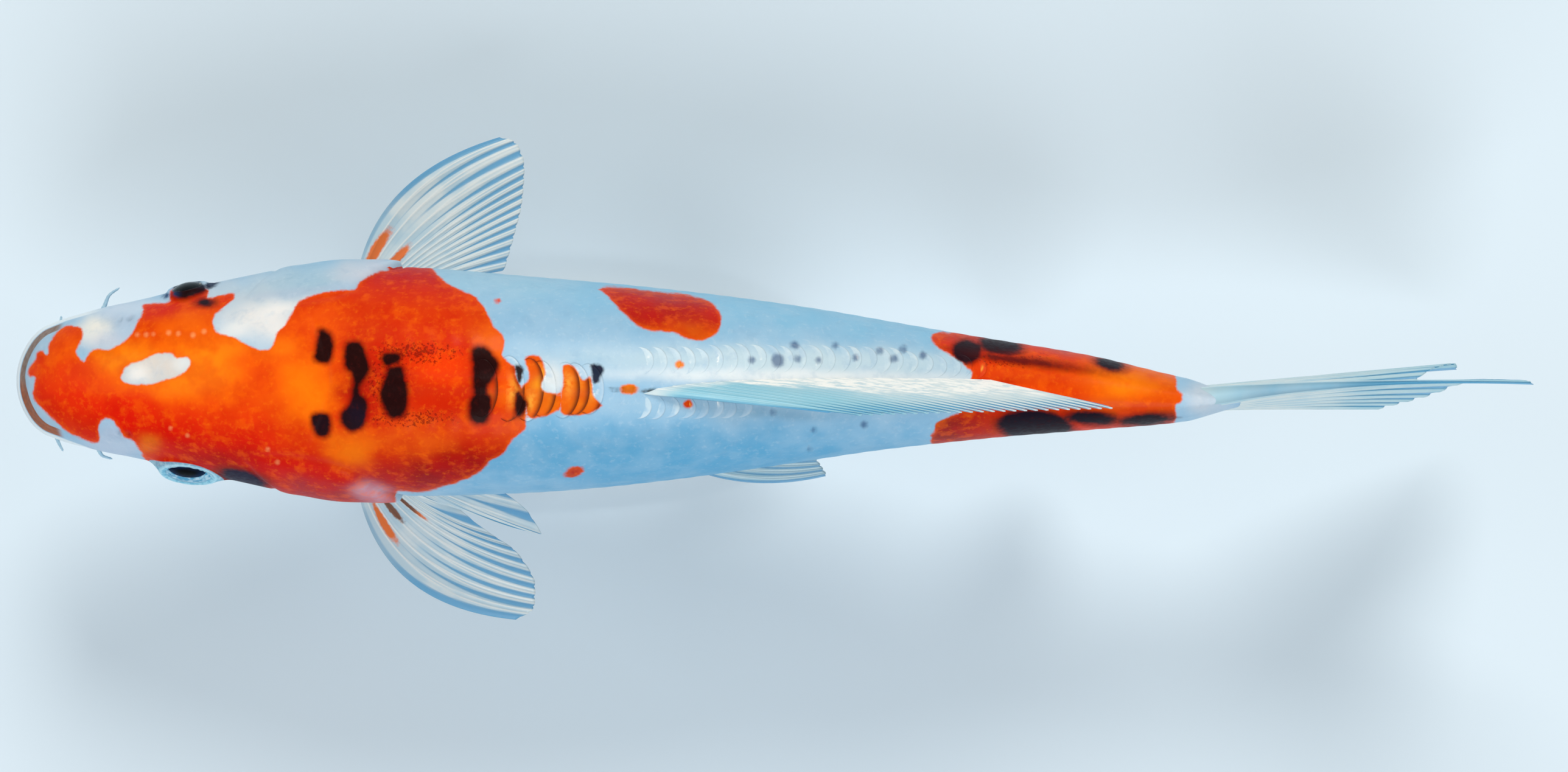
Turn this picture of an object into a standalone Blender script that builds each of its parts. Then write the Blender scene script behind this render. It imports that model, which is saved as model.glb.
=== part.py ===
"""A life-size koi carp, a scaleless-sided German-line fish, held by a plain display stand.

The fish faces -X, its right side is +Y, and the stand's underside is at Z = 0. Tables and places are in
millimetres, along the fish from its snout ("station"), across it, and up from its long axis; the function
place() turns them into metres in the model's own frame. The body is one loft, parted by thin cuts.
"""

import math

import bmesh
import bpy
import numpy as np

MM = 0.001
AXIS_HEIGHT = 125.0  # the fish's long axis above the floor
STAND_STATION = 205.0  # the station that stands over the origin
GAP = 0.3  # between neighbours
SNOUT_TIP = -2.0  # stations count from just behind it
BODY_END = 500.0  # where the flesh runs out into the tail fin

# Station, half width, top and bottom of the body, before the snout is rounded off.
SECTIONS = (
    (-2, 17.5, 3.0, -20.0),
    (5, 20.8, 7.0, -23.0),
    (16, 23.9, 13.5, -27.5),
    (28, 28.0, 20.0, -32.0),
    (45, 32.3, 27.5, -37.0),
    (75, 38.6, 38.5, -46.0),
    (105, 44.6, 47.0, -54.0),
    (135, 47.6, 54.0, -60.0),
    (165, 47.0, 59.0, -64.0),
    (200, 45.2, 62.0, -66.0),
    (240, 42.2, 62.0, -64.5),
    (280, 37.8, 57.5, -59.0),
    (320, 32.3, 49.5, -51.0),
    (360, 26.0, 40.0, -41.5),
    (400, 20.4, 32.0, -32.0),
    (440, 15.4, 27.2, -26.5),
    (480, 8.9, 27.0, -26.0),
    (500, 5.0, 29.0, -28.0),
)
# Station and sideways place of the backbone: a slight S, with the tail swinging to the left.
SPINE = ((-2, 1.5), (60, 2.2), (150, 1.4), (230, -0.2), (330, 0.2), (400, -1.6), (440, -3.3), (475, -6.0), (500, -7.0))
SNOUT_LENGTH = 13.0  # over which the snout rounds off
MOUTH_LEVEL = -10.0  # the level that it rounds off to
WIDEST_SHARE = 0.46  # of the depth, from the belly up to the widest level
ROUNDNESS = 2.3  # the exponent of each section's curve: 2 is an ellipse

# Side-view outlines, as station and level.
HEAD_OUTLINE = ((-10, 80), (112, 80), (118, 56), (134, 40), (148, 24), (156, 6), (157, -10), (150, -25.5), (133, -39),
                (116, -51), (100, -60), (98, -80), (-10, -80))
GILL_OUTLINE = ((100, 22), (118, 33), (134, 34), (147, 23), (155.5, 6), (156.5, -10), (149.5, -25), (132.5, -38),
                (116, -48), (103, -44), (96, -28), (93, -4))
LIP_OUTLINE = ((-15, -9), (12, -15.5), (30, -21), (31, -16.5), (14, -9.5), (6, -5), (-15, -3))
JAW_OUTLINE = ((-15, -9.5), (12, -16), (31, -21.7), (38, -28), (42, -50), (-15, -50))
GILL_THICKNESS = 3.5
GILL_SWELL = 3.2  # how far the gill cover stands out at its rear edge

EYE_RADIUS = 8.5
EYE_STATION = 72.0
EYE_LEVEL = 9.0
EYE_ASIDE = {"right": 32.8, "left": 34.2}  # of its centre, from the backbone

STAND_LENGTH, STAND_WIDTH, STAND_THICKNESS = 260.0, 84.0, 12.0
ROD_RADIUS = 4.0
ROD_STATIONS = {"front": 132.0, "rear": 276.0}


def curve_through(points):
    """A function of the first column: the smooth curve through the rows, with no overshoot between them."""
    table = np.array(points, float)
    at, values = table[:, 0], table[:, 1:]
    steps = np.diff(at)[:, None]
    slopes = np.diff(values, axis=0) / steps
    before, after = slopes[:-1], slopes[1:]
    same_way = before * after > 0
    safe = np.where(same_way, before + after, 1.0)
    inner = np.where(same_way, 2 * before * after / safe, 0.0)
    tangents = np.vstack([slopes[:1], inner, slopes[-1:]])

    def value(where):
        where = np.clip(np.atleast_1d(np.asarray(where, float)), at[0], at[-1])
        i = np.clip(np.searchsorted(at, where, side="right") - 1, 0, len(at) - 2)
        step = steps[i]
        t = ((where - at[i]) / steps[i, 0])[:, None]
        return (
            (1 + 2 * t) * (1 - t) ** 2 * values[i]
            + t * (1 - t) ** 2 * step * tangents[i]
            + t * t * (3 - 2 * t) * values[i + 1]
            + t * t * (t - 1) * step * tangents[i + 1]
        )

    return value


section_at = curve_through(SECTIONS)
spine_at = curve_through(SPINE)


def place(points):
    """Rows of station, aside and level in millimetres, as points of the model in metres."""
    points = np.asarray(points, float)
    return (points + (-STAND_STATION, 0.0, AXIS_HEIGHT)) * MM


def ring(station, angles, swell=0.0):
    """Points round the body at one station. Angle 0 is the back, a quarter turn is the right side. Swell grows it."""
    half, top, bottom = section_at(station)[0]
    run = min(max((station - SNOUT_TIP + swell) / (SNOUT_LENGTH + swell), 0.0), 1.0)
    rounding = math.sqrt(1 - (1 - run) ** 2)
    half, top, bottom = half + swell, top + swell, bottom - swell
    half *= rounding
    top = MOUTH_LEVEL + (top - MOUTH_LEVEL) * rounding
    bottom = MOUTH_LEVEL + (bottom - MOUTH_LEVEL) * rounding
    widest = bottom + WIDEST_SHARE * (top - bottom)
    across = np.sin(angles)
    up = np.cos(angles)
    power = 2 / ROUNDNESS
    reach = np.where(up > 0, top - widest, widest - bottom)
    aside = spine_at(station)[0, 0] + half * np.sign(across) * np.abs(across) ** power
    level = widest + reach * np.sign(up) * np.abs(up) ** power
    return np.column_stack([np.full(len(angles), station), aside, level])


def gill_swell(station):
    """How far a gill cover stands out of the body: nothing at the cheek, most near its rear edge."""
    run = np.clip((station - 92.0) / 50.0, 0.0, 1.0)
    return GILL_SWELL * run * run * (3 - 2 * run)


def make_object(name, mesh, collection, material=None):
    thing = bpy.data.objects.new(name, mesh)
    collection.objects.link(thing)
    if material:
        mesh.materials.append(material)
    return thing


def loft(name, collection, start, end, swell=0.0, spacing=12.0, around=28, material=None):
    """The body between two stations as a closed mesh. Swell is a number, or a function of the station."""
    grow = swell if callable(swell) else (lambda station: swell)
    count = max(2, round((end - start) / spacing) + 1)
    stations = list(np.linspace(start, end, count))
    if start == SNOUT_TIP:  # the round snout needs closer rings
        near = [start + run for run in (0.15 - grow(start), 0.9, 2.4, 4.6, 7.6, 11.0)]
        stations = near + [station for station in stations if station > start + 14]
    angles = np.linspace(0, 2 * math.pi, around, endpoint=False)
    rings = [place(ring(station, angles, grow(station))) for station in stations]
    shape = bmesh.new()
    rows = [[shape.verts.new(point) for point in points] for points in rings]
    for near, far in zip(rows, rows[1:]):
        for i in range(around):
            j = (i + 1) % around
            shape.faces.new((near[i], near[j], far[j], far[i]))
    shape.faces.new(rows[0][::-1])
    shape.faces.new(rows[-1])
    bmesh.ops.recalc_face_normals(shape, faces=shape.faces)
    mesh = bpy.data.meshes.new(name)
    shape.to_mesh(mesh)
    shape.free()
    for face in mesh.polygons:
        face.use_smooth = len(face.vertices) == 4
    return make_object(name, mesh, collection, material)


def solid_from_curve(name, curve, collection, place_it=None):
    """The curve's evaluated shape as a closed mesh object; the curve itself is removed."""
    drawn = bpy.data.objects.new(name + ".curve", curve)
    collection.objects.link(drawn)
    if place_it:
        place_it(drawn)
    bpy.context.view_layer.update()
    evaluated = drawn.evaluated_get(bpy.context.evaluated_depsgraph_get())
    mesh = bpy.data.meshes.new_from_object(evaluated)
    mesh.transform(drawn.matrix_world)
    shape = bmesh.new()
    shape.from_mesh(mesh)
    bmesh.ops.remove_doubles(shape, verts=shape.verts, dist=1e-6)
    bmesh.ops.recalc_face_normals(shape, faces=shape.faces)
    shape.to_mesh(mesh)
    shape.free()
    mesh.materials.clear()
    bpy.data.objects.remove(drawn)
    mesh.name = name
    return make_object(name, mesh, collection)


def slab(name, outline, collection, low, high, grow=0.0):
    """A side-view outline cut out of thick plate, from aside = low to high. Grow moves the outline outwards."""
    points = np.array(outline, float)
    if grow:
        before, after = np.roll(points, 1, axis=0), np.roll(points, -1, axis=0)
        along = after - before
        area = np.sum(points[:, 0] * after[:, 1] - points[:, 1] * after[:, 0])
        normal = np.column_stack([along[:, 1], -along[:, 0]]) * np.sign(area)
        points = points + grow * normal / np.linalg.norm(normal, axis=1)[:, None]
    curve = bpy.data.curves.new(name, "CURVE")
    curve.dimensions = "2D"
    curve.fill_mode = "BOTH"
    curve.extrude = (high - low) / 2 * MM
    spline = curve.splines.new("POLY")
    spline.points.add(len(points) - 1)
    spline.use_cyclic_u = True
    for point, (station, level) in zip(spline.points, points):
        point.co = (*place((station, 0.0, level))[[0, 2]], 0.0, 1.0)

    def stand_up(drawn):
        drawn.rotation_euler = (math.pi / 2, 0.0, 0.0)
        drawn.location = (0.0, (low + high) / 2 * MM, 0.0)

    return solid_from_curve(name, curve, collection, stand_up)


def combine(thing, tool, operation="DIFFERENCE"):
    """A Boolean modifier on thing."""
    modifier = thing.modifiers.new(f"{operation.lower()} {tool.name}", "BOOLEAN")
    modifier.operation = operation
    modifier.object = tool
    modifier.solver = "EXACT"
    return thing


def ball(name, centre, radius, collection, material=None, segments=18, rings=10):
    mesh = bpy.data.meshes.new(name)
    shape = bmesh.new()
    bmesh.ops.create_uvsphere(shape, u_segments=segments, v_segments=rings, radius=radius * MM)
    shape.to_mesh(mesh)
    shape.free()
    mesh.shade_smooth()
    thing = make_object(name, mesh, collection, material)
    thing.location = place(centre)
    return thing


def fan(roots, tips, bows, rays, steps):
    """A fin's middle surface as points [ray, step]. Roots are the first and last ray's foot; tips are rows of
    share along the base, then a point; bows say how far the middle of the first and last ray bends aside."""
    share = np.linspace(0, 1, rays)
    foot = np.array(roots[0], float) + share[:, None] * (np.array(roots[1], float) - roots[0])
    tip = curve_through(tips)(share)
    bow = np.array(bows[0], float) + share[:, None] * (np.array(bows[1], float) - bows[0])
    run = np.linspace(0, 1, steps)[None, :, None]
    return foot[:, None] * (1 - run) + tip[:, None] * run + bow[:, None] * 4 * run * (1 - run)


def fin(name, grid, collection, material, root_thickness, edge_thickness, clear_of=()):
    """A fin as a sheet with Solidify, thick at its root, and cut back from the pieces that it grows out of."""
    rays, steps = grid.shape[:2]
    shape = bmesh.new()
    rows = [[shape.verts.new(point) for point in row] for row in place(grid)]
    for near, far in zip(rows, rows[1:]):
        for i in range(steps - 1):
            shape.faces.new((near[i], near[i + 1], far[i + 1], far[i]))
    mesh = bpy.data.meshes.new(name)
    shape.to_mesh(mesh)
    shape.free()
    mesh.shade_smooth()
    thing = make_object(name, mesh, collection, material)
    root = thing.vertex_groups.new(name="root")
    for i in range(rays):
        for j in range(steps):
            root.add([i * steps + j], (1 - j / (steps - 1)) ** 1.5, "REPLACE")
    sheet = thing.modifiers.new("sheet", "SOLIDIFY")
    sheet.thickness = root_thickness * MM
    sheet.offset = 0.0
    sheet.vertex_group = root.name
    sheet.thickness_vertex_group = edge_thickness / root_thickness
    for tool in clear_of:
        combine(thing, tool)
    return thing


def feeler(name, points, collection, material, clear_of):
    """A barbel: a tapering round cord through the points, cut back from the head."""
    curve = bpy.data.curves.new(name, "CURVE")
    curve.dimensions = "3D"
    curve.bevel_depth = 1.0 * MM
    curve.bevel_resolution = 1
    curve.use_fill_caps = True
    spline = curve.splines.new("POLY")
    route = curve_through([(i, *point) for i, point in enumerate(points)])
    run = np.linspace(0, len(points) - 1, 8)
    spline.points.add(len(run) - 1)
    for point, where, radius in zip(spline.points, place(route(run)), np.linspace(1.3, 0.4, len(run))):
        point.co = (*where, 1.0)
        point.radius = radius
    thing = solid_from_curve(name, curve, collection)
    thing.data.materials.append(material)
    for tool in clear_of:
        combine(thing, tool)
    return thing


def paint(name, colour, roughness, metallic=0.0):
    material = bpy.data.materials.new(name)
    material.use_nodes = True
    shader = material.node_tree.nodes["Principled BSDF"]
    shader.inputs["Base Color"].default_value = (*colour, 1.0)
    shader.inputs["Roughness"].default_value = roughness
    shader.inputs["Metallic"].default_value = metallic
    return material


def build_head(parts, tools, orange, pale, dark):
    """Head, lip, jaw, gill covers and eyes, all parted from the same loft."""
    eyes = {side: (EYE_STATION, sign * EYE_ASIDE[side] + spine_at(EYE_STATION)[0, 0], EYE_LEVEL)
            for side, sign in (("right", 1), ("left", -1))}
    head = loft("head", parts, SNOUT_TIP, 175, material=orange)
    combine(head, slab("head_keep", HEAD_OUTLINE, tools, -90, 90), "INTERSECT")
    combine(head, slab("lip_slot", LIP_OUTLINE, tools, -60, 60, GAP))
    combine(head, slab("jaw_slot", JAW_OUTLINE, tools, -60, 60, GAP))
    lip = loft("lip_upper", parts, SNOUT_TIP, 50, spacing=6, material=pale)
    combine(lip, slab("lip_keep", LIP_OUTLINE, tools, -60, 60), "INTERSECT")
    jaw = loft("jaw_lower", parts, SNOUT_TIP, 60, spacing=6, material=pale)
    combine(jaw, slab("jaw_keep", JAW_OUTLINE, tools, -60, 60), "INTERSECT")
    core = loft("gill_core", tools, 70, 190, swell=-GILL_THICKNESS)
    core_small = loft("gill_core_small", tools, 70, 190, swell=-GILL_THICKNESS - GAP)
    for side, sign in (("right", 1), ("left", -1)):
        low, high = sorted((sign * 4.0, sign * 90.0))
        recess = slab(f"gill_recess_{side}", GILL_OUTLINE, tools, low, high, GAP)
        combine(head, combine(recess, core_small))
        cover = loft(f"gill_cover_{side}", parts, 70, 190, swell=gill_swell, material=orange)
        combine(cover, slab(f"gill_keep_{side}", GILL_OUTLINE, tools, low, high), "INTERSECT")
        combine(cover, core)
        combine(head, ball(f"eye_socket_{side}", eyes[side], EYE_RADIUS + GAP, tools))
        ball(f"eye_{side}", eyes[side], EYE_RADIUS, parts, dark)


def build_trunk(parts, tools, pale):
    front = loft("trunk_front", parts, 96, 240 - GAP / 2, material=pale)
    combine(front, slab("head_clear", HEAD_OUTLINE, tools, -90, 90, GAP))
    loft("trunk_rear", parts, 240 + GAP / 2, 365 - GAP / 2, material=pale)
    loft("tail_stem", parts, 365 + GAP / 2, BODY_END - GAP / 2, material=pale)


def build_paired_fins(parts, flesh, white):
    """Pectoral fins spread like wings, and pelvic fins laid out under the belly."""
    right_tips = ((0, 196, 104.5, -46), (0.1, 202, 102, -46), (0.25, 205.8, 92, -45), (0.5, 205, 78, -44),
                  (0.75, 202, 64, -42), (1, 197.5, 48, -41))
    right_roots = ((134.5, 36, -42), (153, 39, -39))
    fin("fin_pectoral_right", fan(right_roots, right_tips, ((-13.5, 8.5, 3), (-2, 1, 1)), 12, 7),
        parts, white, 3.0, 0.8, [flesh])
    left_tips = ((0, 203, -99.2, -46), (0.1, 210, -93.5, -46), (0.25, 210.4, -85, -45), (0.45, 203, -71, -44),
                 (0.6, 190, -61.5, -43), (0.68, 177, -51, -41), (0.76, 203, -60.5, -42), (0.86, 213.2, -62.9, -42),
                 (0.94, 208, -54, -41), (1, 199, -46, -40))
    left_roots = ((134.5, -33, -42), (153, -36, -39))
    fin("fin_pectoral_left", fan(left_roots, left_tips, ((-14.5, -13.5, 3), (-2, -1, 1)), 22, 7),
        parts, white, 3.0, 0.8, [flesh])
    right_pelvic = ((0, 326, 33.5, -66), (0.35, 322, 26, -66), (0.7, 313, 17, -66), (1, 300, 9, -66))
    fin("fin_pelvic_right", fan(((245, 17, -57), (255, 8, -60.5)), right_pelvic, ((-3, 6.5, -1), (0, 1, 0)), 8, 6),
        parts, white, 2.6, 0.8, [flesh])
    left_pelvic = ((0, 333.6, -38.8, -66), (0.25, 329, -32, -66), (0.65, 316, -19.5, -66), (1, 302, -10, -66))
    fin("fin_pelvic_left", fan(((245, -17, -57), (255, -8, -60.5)), left_pelvic, ((-3, -11.5, -1), (0, -1, 0)), 8, 6),
        parts, white, 2.6, 0.8, [flesh])


def build_single_fins(parts, flesh, white):
    """The dorsal fin folded back and leaning left, the anal fin, and the two lobes of the tail fin."""
    dorsal_tips = ((0, 342, -12.2, 62), (0.5, 396, -10.8, 49), (1, 449, -9.4, 36))
    fin("fin_dorsal", fan(((244, 1, 58), (395, 0, 30)), dorsal_tips, ((0, 0.8, 1.5), (0, 0, 0)), 15, 6),
        parts, white, 4.5, 0.9, [flesh])
    anal_tips = ((0, 418, -4, -71), (0.3, 426, -4.4, -66), (0.7, 430, -4.6, -55), (1, 430, -4.6, -46))
    fin("fin_anal", fan(((367, -0.5, -36), (398, -1.5, -29)), anal_tips, ((-2, 0, -4), (0, 0, 0)), 9, 6),
        parts, white, 3.6, 0.8, [flesh])
    start = BODY_END - 5
    upper_tips = ((0, 611, 0, 78), (0.12, 607, -2.5, 68), (0.35, 594, -7.5, 45), (0.65, 576, -12, 22), (1, 558, -12, 2))
    fin("fin_caudal_upper", fan(((start, -6.9, 27), (start, -6.9, 3.8)), upper_tips, ((-4, -1.5, 5), (0, -0.5, 0)), 13, 8),
        parts, white, 7.0, 0.9, [flesh])
    lower_tips = ((0, 604, 7.5, -74), (0.12, 600, 6, -65), (0.35, 587, 2, -45), (0.65, 571, -6, -22), (1, 558, -12, -2))
    fin("fin_caudal_lower", fan(((start, -6.9, -26), (start, -6.9, -3.8)), lower_tips, ((-4, -3, -5), (0, -0.5, 0)), 13, 8),
        parts, white, 7.0, 0.9, [flesh])


def build_barbels(parts, flesh, pale):
    for side, sign in (("right", 1), ("left", -1)):
        spine = spine_at(20.0)[0, 0]
        upper = [(15, 20), (17.5, 23.5), (19, 26.5), (21, 28.5)]
        feeler(f"barbel_front_{side}", [(s, spine + sign * y, -11.5 - 1.2 * i) for i, (s, y) in enumerate(upper)],
               parts, pale, [flesh])
        lower = [(29, 24), (32, 28), (37, 31), (44, 33)]
        feeler(f"barbel_rear_{side}", [(s, spine + sign * y, -19 - 2.2 * i) for i, (s, y) in enumerate(lower)],
               parts, pale, [flesh])


def build_stand(parts, flesh, metal, steel):
    """An oval plate with two rods that reach up to the belly."""
    mesh = bpy.data.meshes.new("stand_base")
    shape = bmesh.new()
    bmesh.ops.create_cone(shape, cap_ends=True, segments=40, radius1=0.5, radius2=0.5, depth=1.0)
    bmesh.ops.scale(shape, verts=shape.verts, vec=(STAND_LENGTH * MM, STAND_WIDTH * MM, STAND_THICKNESS * MM))
    bmesh.ops.translate(shape, verts=shape.verts, vec=(0, 0, STAND_THICKNESS / 2 * MM))
    shape.to_mesh(mesh)
    shape.free()
    base = make_object("stand_base", mesh, parts, metal)
    edge = base.modifiers.new("edge", "BEVEL")
    edge.width = 1.5 * MM
    edge.segments = 2
    edge.limit_method = "ANGLE"
    edge.angle_limit = math.radians(60)
    foot = STAND_THICKNESS + GAP
    profile = ((0, foot), (9.0, foot), (9.0, foot + 3), (8.2, foot + 4), (ROD_RADIUS, foot + 4), (ROD_RADIUS, 90), (0, 90))
    for where, station in ROD_STATIONS.items():
        name = f"stand_rod_{where}"
        mesh = bpy.data.meshes.new(name)
        mesh.from_pydata([(r * MM, 0, z * MM) for r, z in profile[::-1]], [(i, i + 1) for i in range(len(profile) - 1)], [])
        rod = make_object(name, mesh, parts)
        turn = rod.modifiers.new("turn", "SCREW")
        turn.steps = turn.render_steps = 24
        turn.use_merge_vertices = True
        turn.merge_threshold = 0.00001
        turn.use_normal_calculate = True
        combine(rod, flesh)
        mesh.materials.append(steel)
        rod.location = ((station - STAND_STATION) * MM, spine_at(station)[0, 0] * MM, 0.0)


def main():
    for thing in list(bpy.data.objects):
        bpy.data.objects.remove(thing)
    parts = bpy.data.collections.new("koi")
    tools = bpy.data.collections.new("cutters")
    bpy.context.scene.collection.children.link(parts)
    bpy.context.scene.collection.children.link(tools)
    orange = paint("orange skin", (0.85, 0.10, 0.01), 0.3)
    pale = paint("pale skin", (0.55, 0.68, 0.76), 0.3)
    white = paint("fin", (0.72, 0.80, 0.82), 0.35)
    dark = paint("eye", (0.02, 0.02, 0.025), 0.08)
    metal = paint("stand base", (0.62, 0.64, 0.65), 0.45, 0.2)
    steel = paint("stand rods", (0.60, 0.61, 0.62), 0.3, 1.0)

    flesh = loft("flesh_clear", tools, SNOUT_TIP, BODY_END + GAP / 2, swell=GAP)
    build_head(parts, tools, orange, pale, dark)
    build_trunk(parts, tools, pale)
    build_paired_fins(parts, flesh, white)
    build_single_fins(parts, flesh, white)
    build_barbels(parts, flesh, pale)
    build_stand(parts, flesh, metal, steel)
    for tool in tools.objects:
        tool.hide_render = True
        tool.display_type = "WIRE"


main()
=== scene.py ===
"""Looks of the life-size koi carp: its skin, scales, fins, eyes and feelers, and the studio round it.

Shapes are worked out in millimetres, as in the CAD: the station along the fish from its snout, the distance
aside (+ is the fish's right) and the level above its long axis. place() turns them into the frame's metres.
"""

import collections
import math

import bpy
import numpy as np
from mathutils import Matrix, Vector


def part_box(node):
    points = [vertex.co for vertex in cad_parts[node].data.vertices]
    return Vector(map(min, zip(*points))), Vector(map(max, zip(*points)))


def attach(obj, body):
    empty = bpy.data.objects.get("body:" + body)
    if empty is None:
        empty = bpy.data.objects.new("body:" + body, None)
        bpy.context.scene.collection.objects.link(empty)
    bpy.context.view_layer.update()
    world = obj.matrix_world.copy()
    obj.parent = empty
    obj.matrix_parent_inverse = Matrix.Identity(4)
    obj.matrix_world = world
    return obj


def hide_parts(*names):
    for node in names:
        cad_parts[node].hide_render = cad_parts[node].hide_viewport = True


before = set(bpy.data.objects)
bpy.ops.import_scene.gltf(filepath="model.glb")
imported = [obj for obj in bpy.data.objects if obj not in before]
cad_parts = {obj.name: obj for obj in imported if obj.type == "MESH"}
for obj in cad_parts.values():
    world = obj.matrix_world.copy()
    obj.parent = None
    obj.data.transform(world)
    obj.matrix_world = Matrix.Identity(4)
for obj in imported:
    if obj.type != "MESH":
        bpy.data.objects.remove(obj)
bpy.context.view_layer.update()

MM = 0.001
SNOUT_TIP = -2.0
BODY_END = 500.0
EYE_STATION, EYE_LEVEL = 72.0, 9.0
EYE_BOX = np.array(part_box("eye_right")) / MM
STATION_0 = EYE_BOX[:, 0].mean() - EYE_STATION  # of station 0, along the frame's X
AXIS_HEIGHT = EYE_BOX[:, 2].mean() - EYE_LEVEL

# Station, half width, top and bottom of the body, before the snout is rounded off: the CAD's own loft.
SECTIONS = (
    (-2, 17.5, 3.0, -20.0),
    (5, 20.8, 7.0, -23.0),
    (16, 23.9, 13.5, -27.5),
    (28, 28.0, 20.0, -32.0),
    (45, 32.3, 27.5, -37.0),
    (75, 38.6, 38.5, -46.0),
    (105, 44.6, 47.0, -54.0),
    (135, 47.6, 54.0, -60.0),
    (165, 47.0, 59.0, -64.0),
    (200, 45.2, 62.0, -66.0),
    (240, 42.2, 62.0, -64.5),
    (280, 37.8, 57.5, -59.0),
    (320, 32.3, 49.5, -51.0),
    (360, 26.0, 40.0, -41.5),
    (400, 20.4, 32.0, -32.0),
    (440, 15.4, 27.2, -26.5),
    (480, 8.9, 27.0, -26.0),
    (500, 5.0, 29.0, -28.0),
)
SPINE = (
    (-2, 1.5), (60, 2.2), (150, 1.4), (230, -0.2), (330, 0.2), (400, -1.6), (440, -3.3), (475, -6.0),
    (500, -7.0),
)
SNOUT_LENGTH = 13.0
MOUTH_LEVEL = -10.0
TAIL_ROOT = 480.0  # from here back the flesh thins between the halves of the tail fin
WIDEST_SHARE = 0.46
ROUNDNESS = 2.3

# The camera looks straight down. Markings are drawn as it sees them, so the skin uses the same numbers.
CAMERA_HEIGHT = 1800.0  # above the fish's long axis
VIEW_STATION, VIEW_ASIDE = 315.0, -0.6  # the middle of the picture
VIEW_WIDTH = 644.0  # what the picture spans at the level of the long axis

OUTSIDE = -6.0  # how far inside a marking a point counts that is well outside it
OFF_HEAD = -9.0  # how far in from the head's outline a point counts that isn't on the head's upper side


# ---------------------------------------------------------------- helpers


def curve_through(points):
    """A function of the first column: the smooth curve through the rows, with no overshoot between them."""
    table = np.array(points, float)
    at, values = table[:, 0], table[:, 1:]
    steps = np.diff(at)[:, None]
    slopes = np.diff(values, axis=0) / steps
    before, after = slopes[:-1], slopes[1:]
    same_way = before * after > 0
    safe = np.where(same_way, before + after, 1.0)
    inner = np.where(same_way, 2 * before * after / safe, 0.0)
    tangents = np.vstack([slopes[:1], inner, slopes[-1:]])

    def value(where):
        where = np.clip(np.atleast_1d(np.asarray(where, float)), at[0], at[-1])
        i = np.clip(np.searchsorted(at, where, side="right") - 1, 0, len(at) - 2)
        step = steps[i]
        t = (where - at[i])[..., None] / step
        return (
            (1 + 2 * t) * (1 - t) ** 2 * values[i]
            + t * (1 - t) ** 2 * step * tangents[i]
            + t * t * (3 - 2 * t) * values[i + 1]
            + t * t * (t - 1) * step * tangents[i + 1]
        )

    return value


section_at = curve_through(SECTIONS)
spine_at = curve_through(SPINE)


def place(points):
    """Rows of station, aside and level in millimetres, as points of the frame in metres."""
    return (np.asarray(points, float) + (STATION_0, 0.0, AXIS_HEIGHT)) * MM


def bump(x, width):
    """1 at x = 0, fading to nothing a couple of widths away."""
    return np.exp(-((x / width) ** 2))


def ease(x, start, end):
    """0 up to start, 1 from end on, and smooth between."""
    t = np.clip((x - start) / (end - start), 0.0, 1.0)
    return t * t * (3 - 2 * t)


def window(x, start, full, fade, end):
    """1 from full to fade, 0 before start and after end, and smooth between."""
    return ease(x, start, full) * (1 - ease(x, fade, end))


def unit(vectors):
    length = np.linalg.norm(vectors, axis=-1, keepdims=True)
    return vectors / np.maximum(length, 1e-9)


def smooth_outline(points):
    """The closed curve through given corners, as a finer polygon."""
    steps = 4  # from each corner to the next
    p = np.array(points, float)
    before, after, next_two = np.roll(p, 1, 0), np.roll(p, -1, 0), np.roll(p, -2, 0)
    t = (np.arange(steps) / steps)[:, None, None]
    curve = 0.5 * (
        2 * p
        + (after - before) * t
        + (2 * before - 5 * p + 4 * after - next_two) * t * t
        + (3 * p - before - 3 * after + next_two) * t**3
    )
    return curve.transpose(1, 0, 2).reshape(-1, 2)


def inside_by(u, v, outline):
    """How far inside a closed outline each point lies, in millimetres. Outside is negative."""
    nearest = np.full(u.shape, 1e9)
    inside = np.zeros(u.shape, bool)
    for (u0, v0), (u1, v1) in zip(outline, np.roll(outline, -1, 0)):
        du, dv = u1 - u0, v1 - v0
        share = np.clip(((u - u0) * du + (v - v0) * dv) / max(du * du + dv * dv, 1e-9), 0, 1)
        nearest = np.minimum(nearest, (u - u0 - share * du) ** 2 + (v - v0 - share * dv) ** 2)
        crosses = (v0 > v) != (v1 > v)
        inside ^= crosses & (u < u0 + du * (v - v0) / (dv if dv else 1e-9))
    return np.where(inside, 1.0, -1.0) * np.sqrt(nearest)


def oval(u, v, centre, half_length, half_width, tilt=0.0):
    """About how far inside a tilted oval each point lies, in millimetres."""
    turn = math.radians(tilt)
    along = (u - centre[0]) * math.cos(turn) + (v - centre[1]) * math.sin(turn)
    across = (v - centre[1]) * math.cos(turn) - (u - centre[0]) * math.sin(turn)
    return (1 - np.hypot(along / half_length, across / half_width)) * min(half_length, half_width)


def make_mesh(name, points, faces, material):
    """An object from points in millimetres and lists of their numbers."""
    mesh = bpy.data.meshes.new(name)
    mesh.from_pydata(place(points).tolist(), [], faces)
    mesh.shade_smooth()
    mesh.materials.append(material)
    piece = bpy.data.objects.new(name, mesh)
    bpy.context.scene.collection.objects.link(piece)
    return piece


def write_values(piece, **values):
    """Numbers on the mesh's points, which the materials read by name."""
    for name, numbers in values.items():
        layer = piece.data.attributes.new(name, "FLOAT", "POINT")
        layer.data.foreach_set("value", np.asarray(numbers, np.float32).ravel())


def write_map(piece, places):
    """The bake's map: one place in the unit square for each corner of the faces."""
    layer = piece.data.uv_layers.new(name="OFBake")
    layer.data.foreach_set("uv", np.asarray(places, np.float32).ravel())


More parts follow.
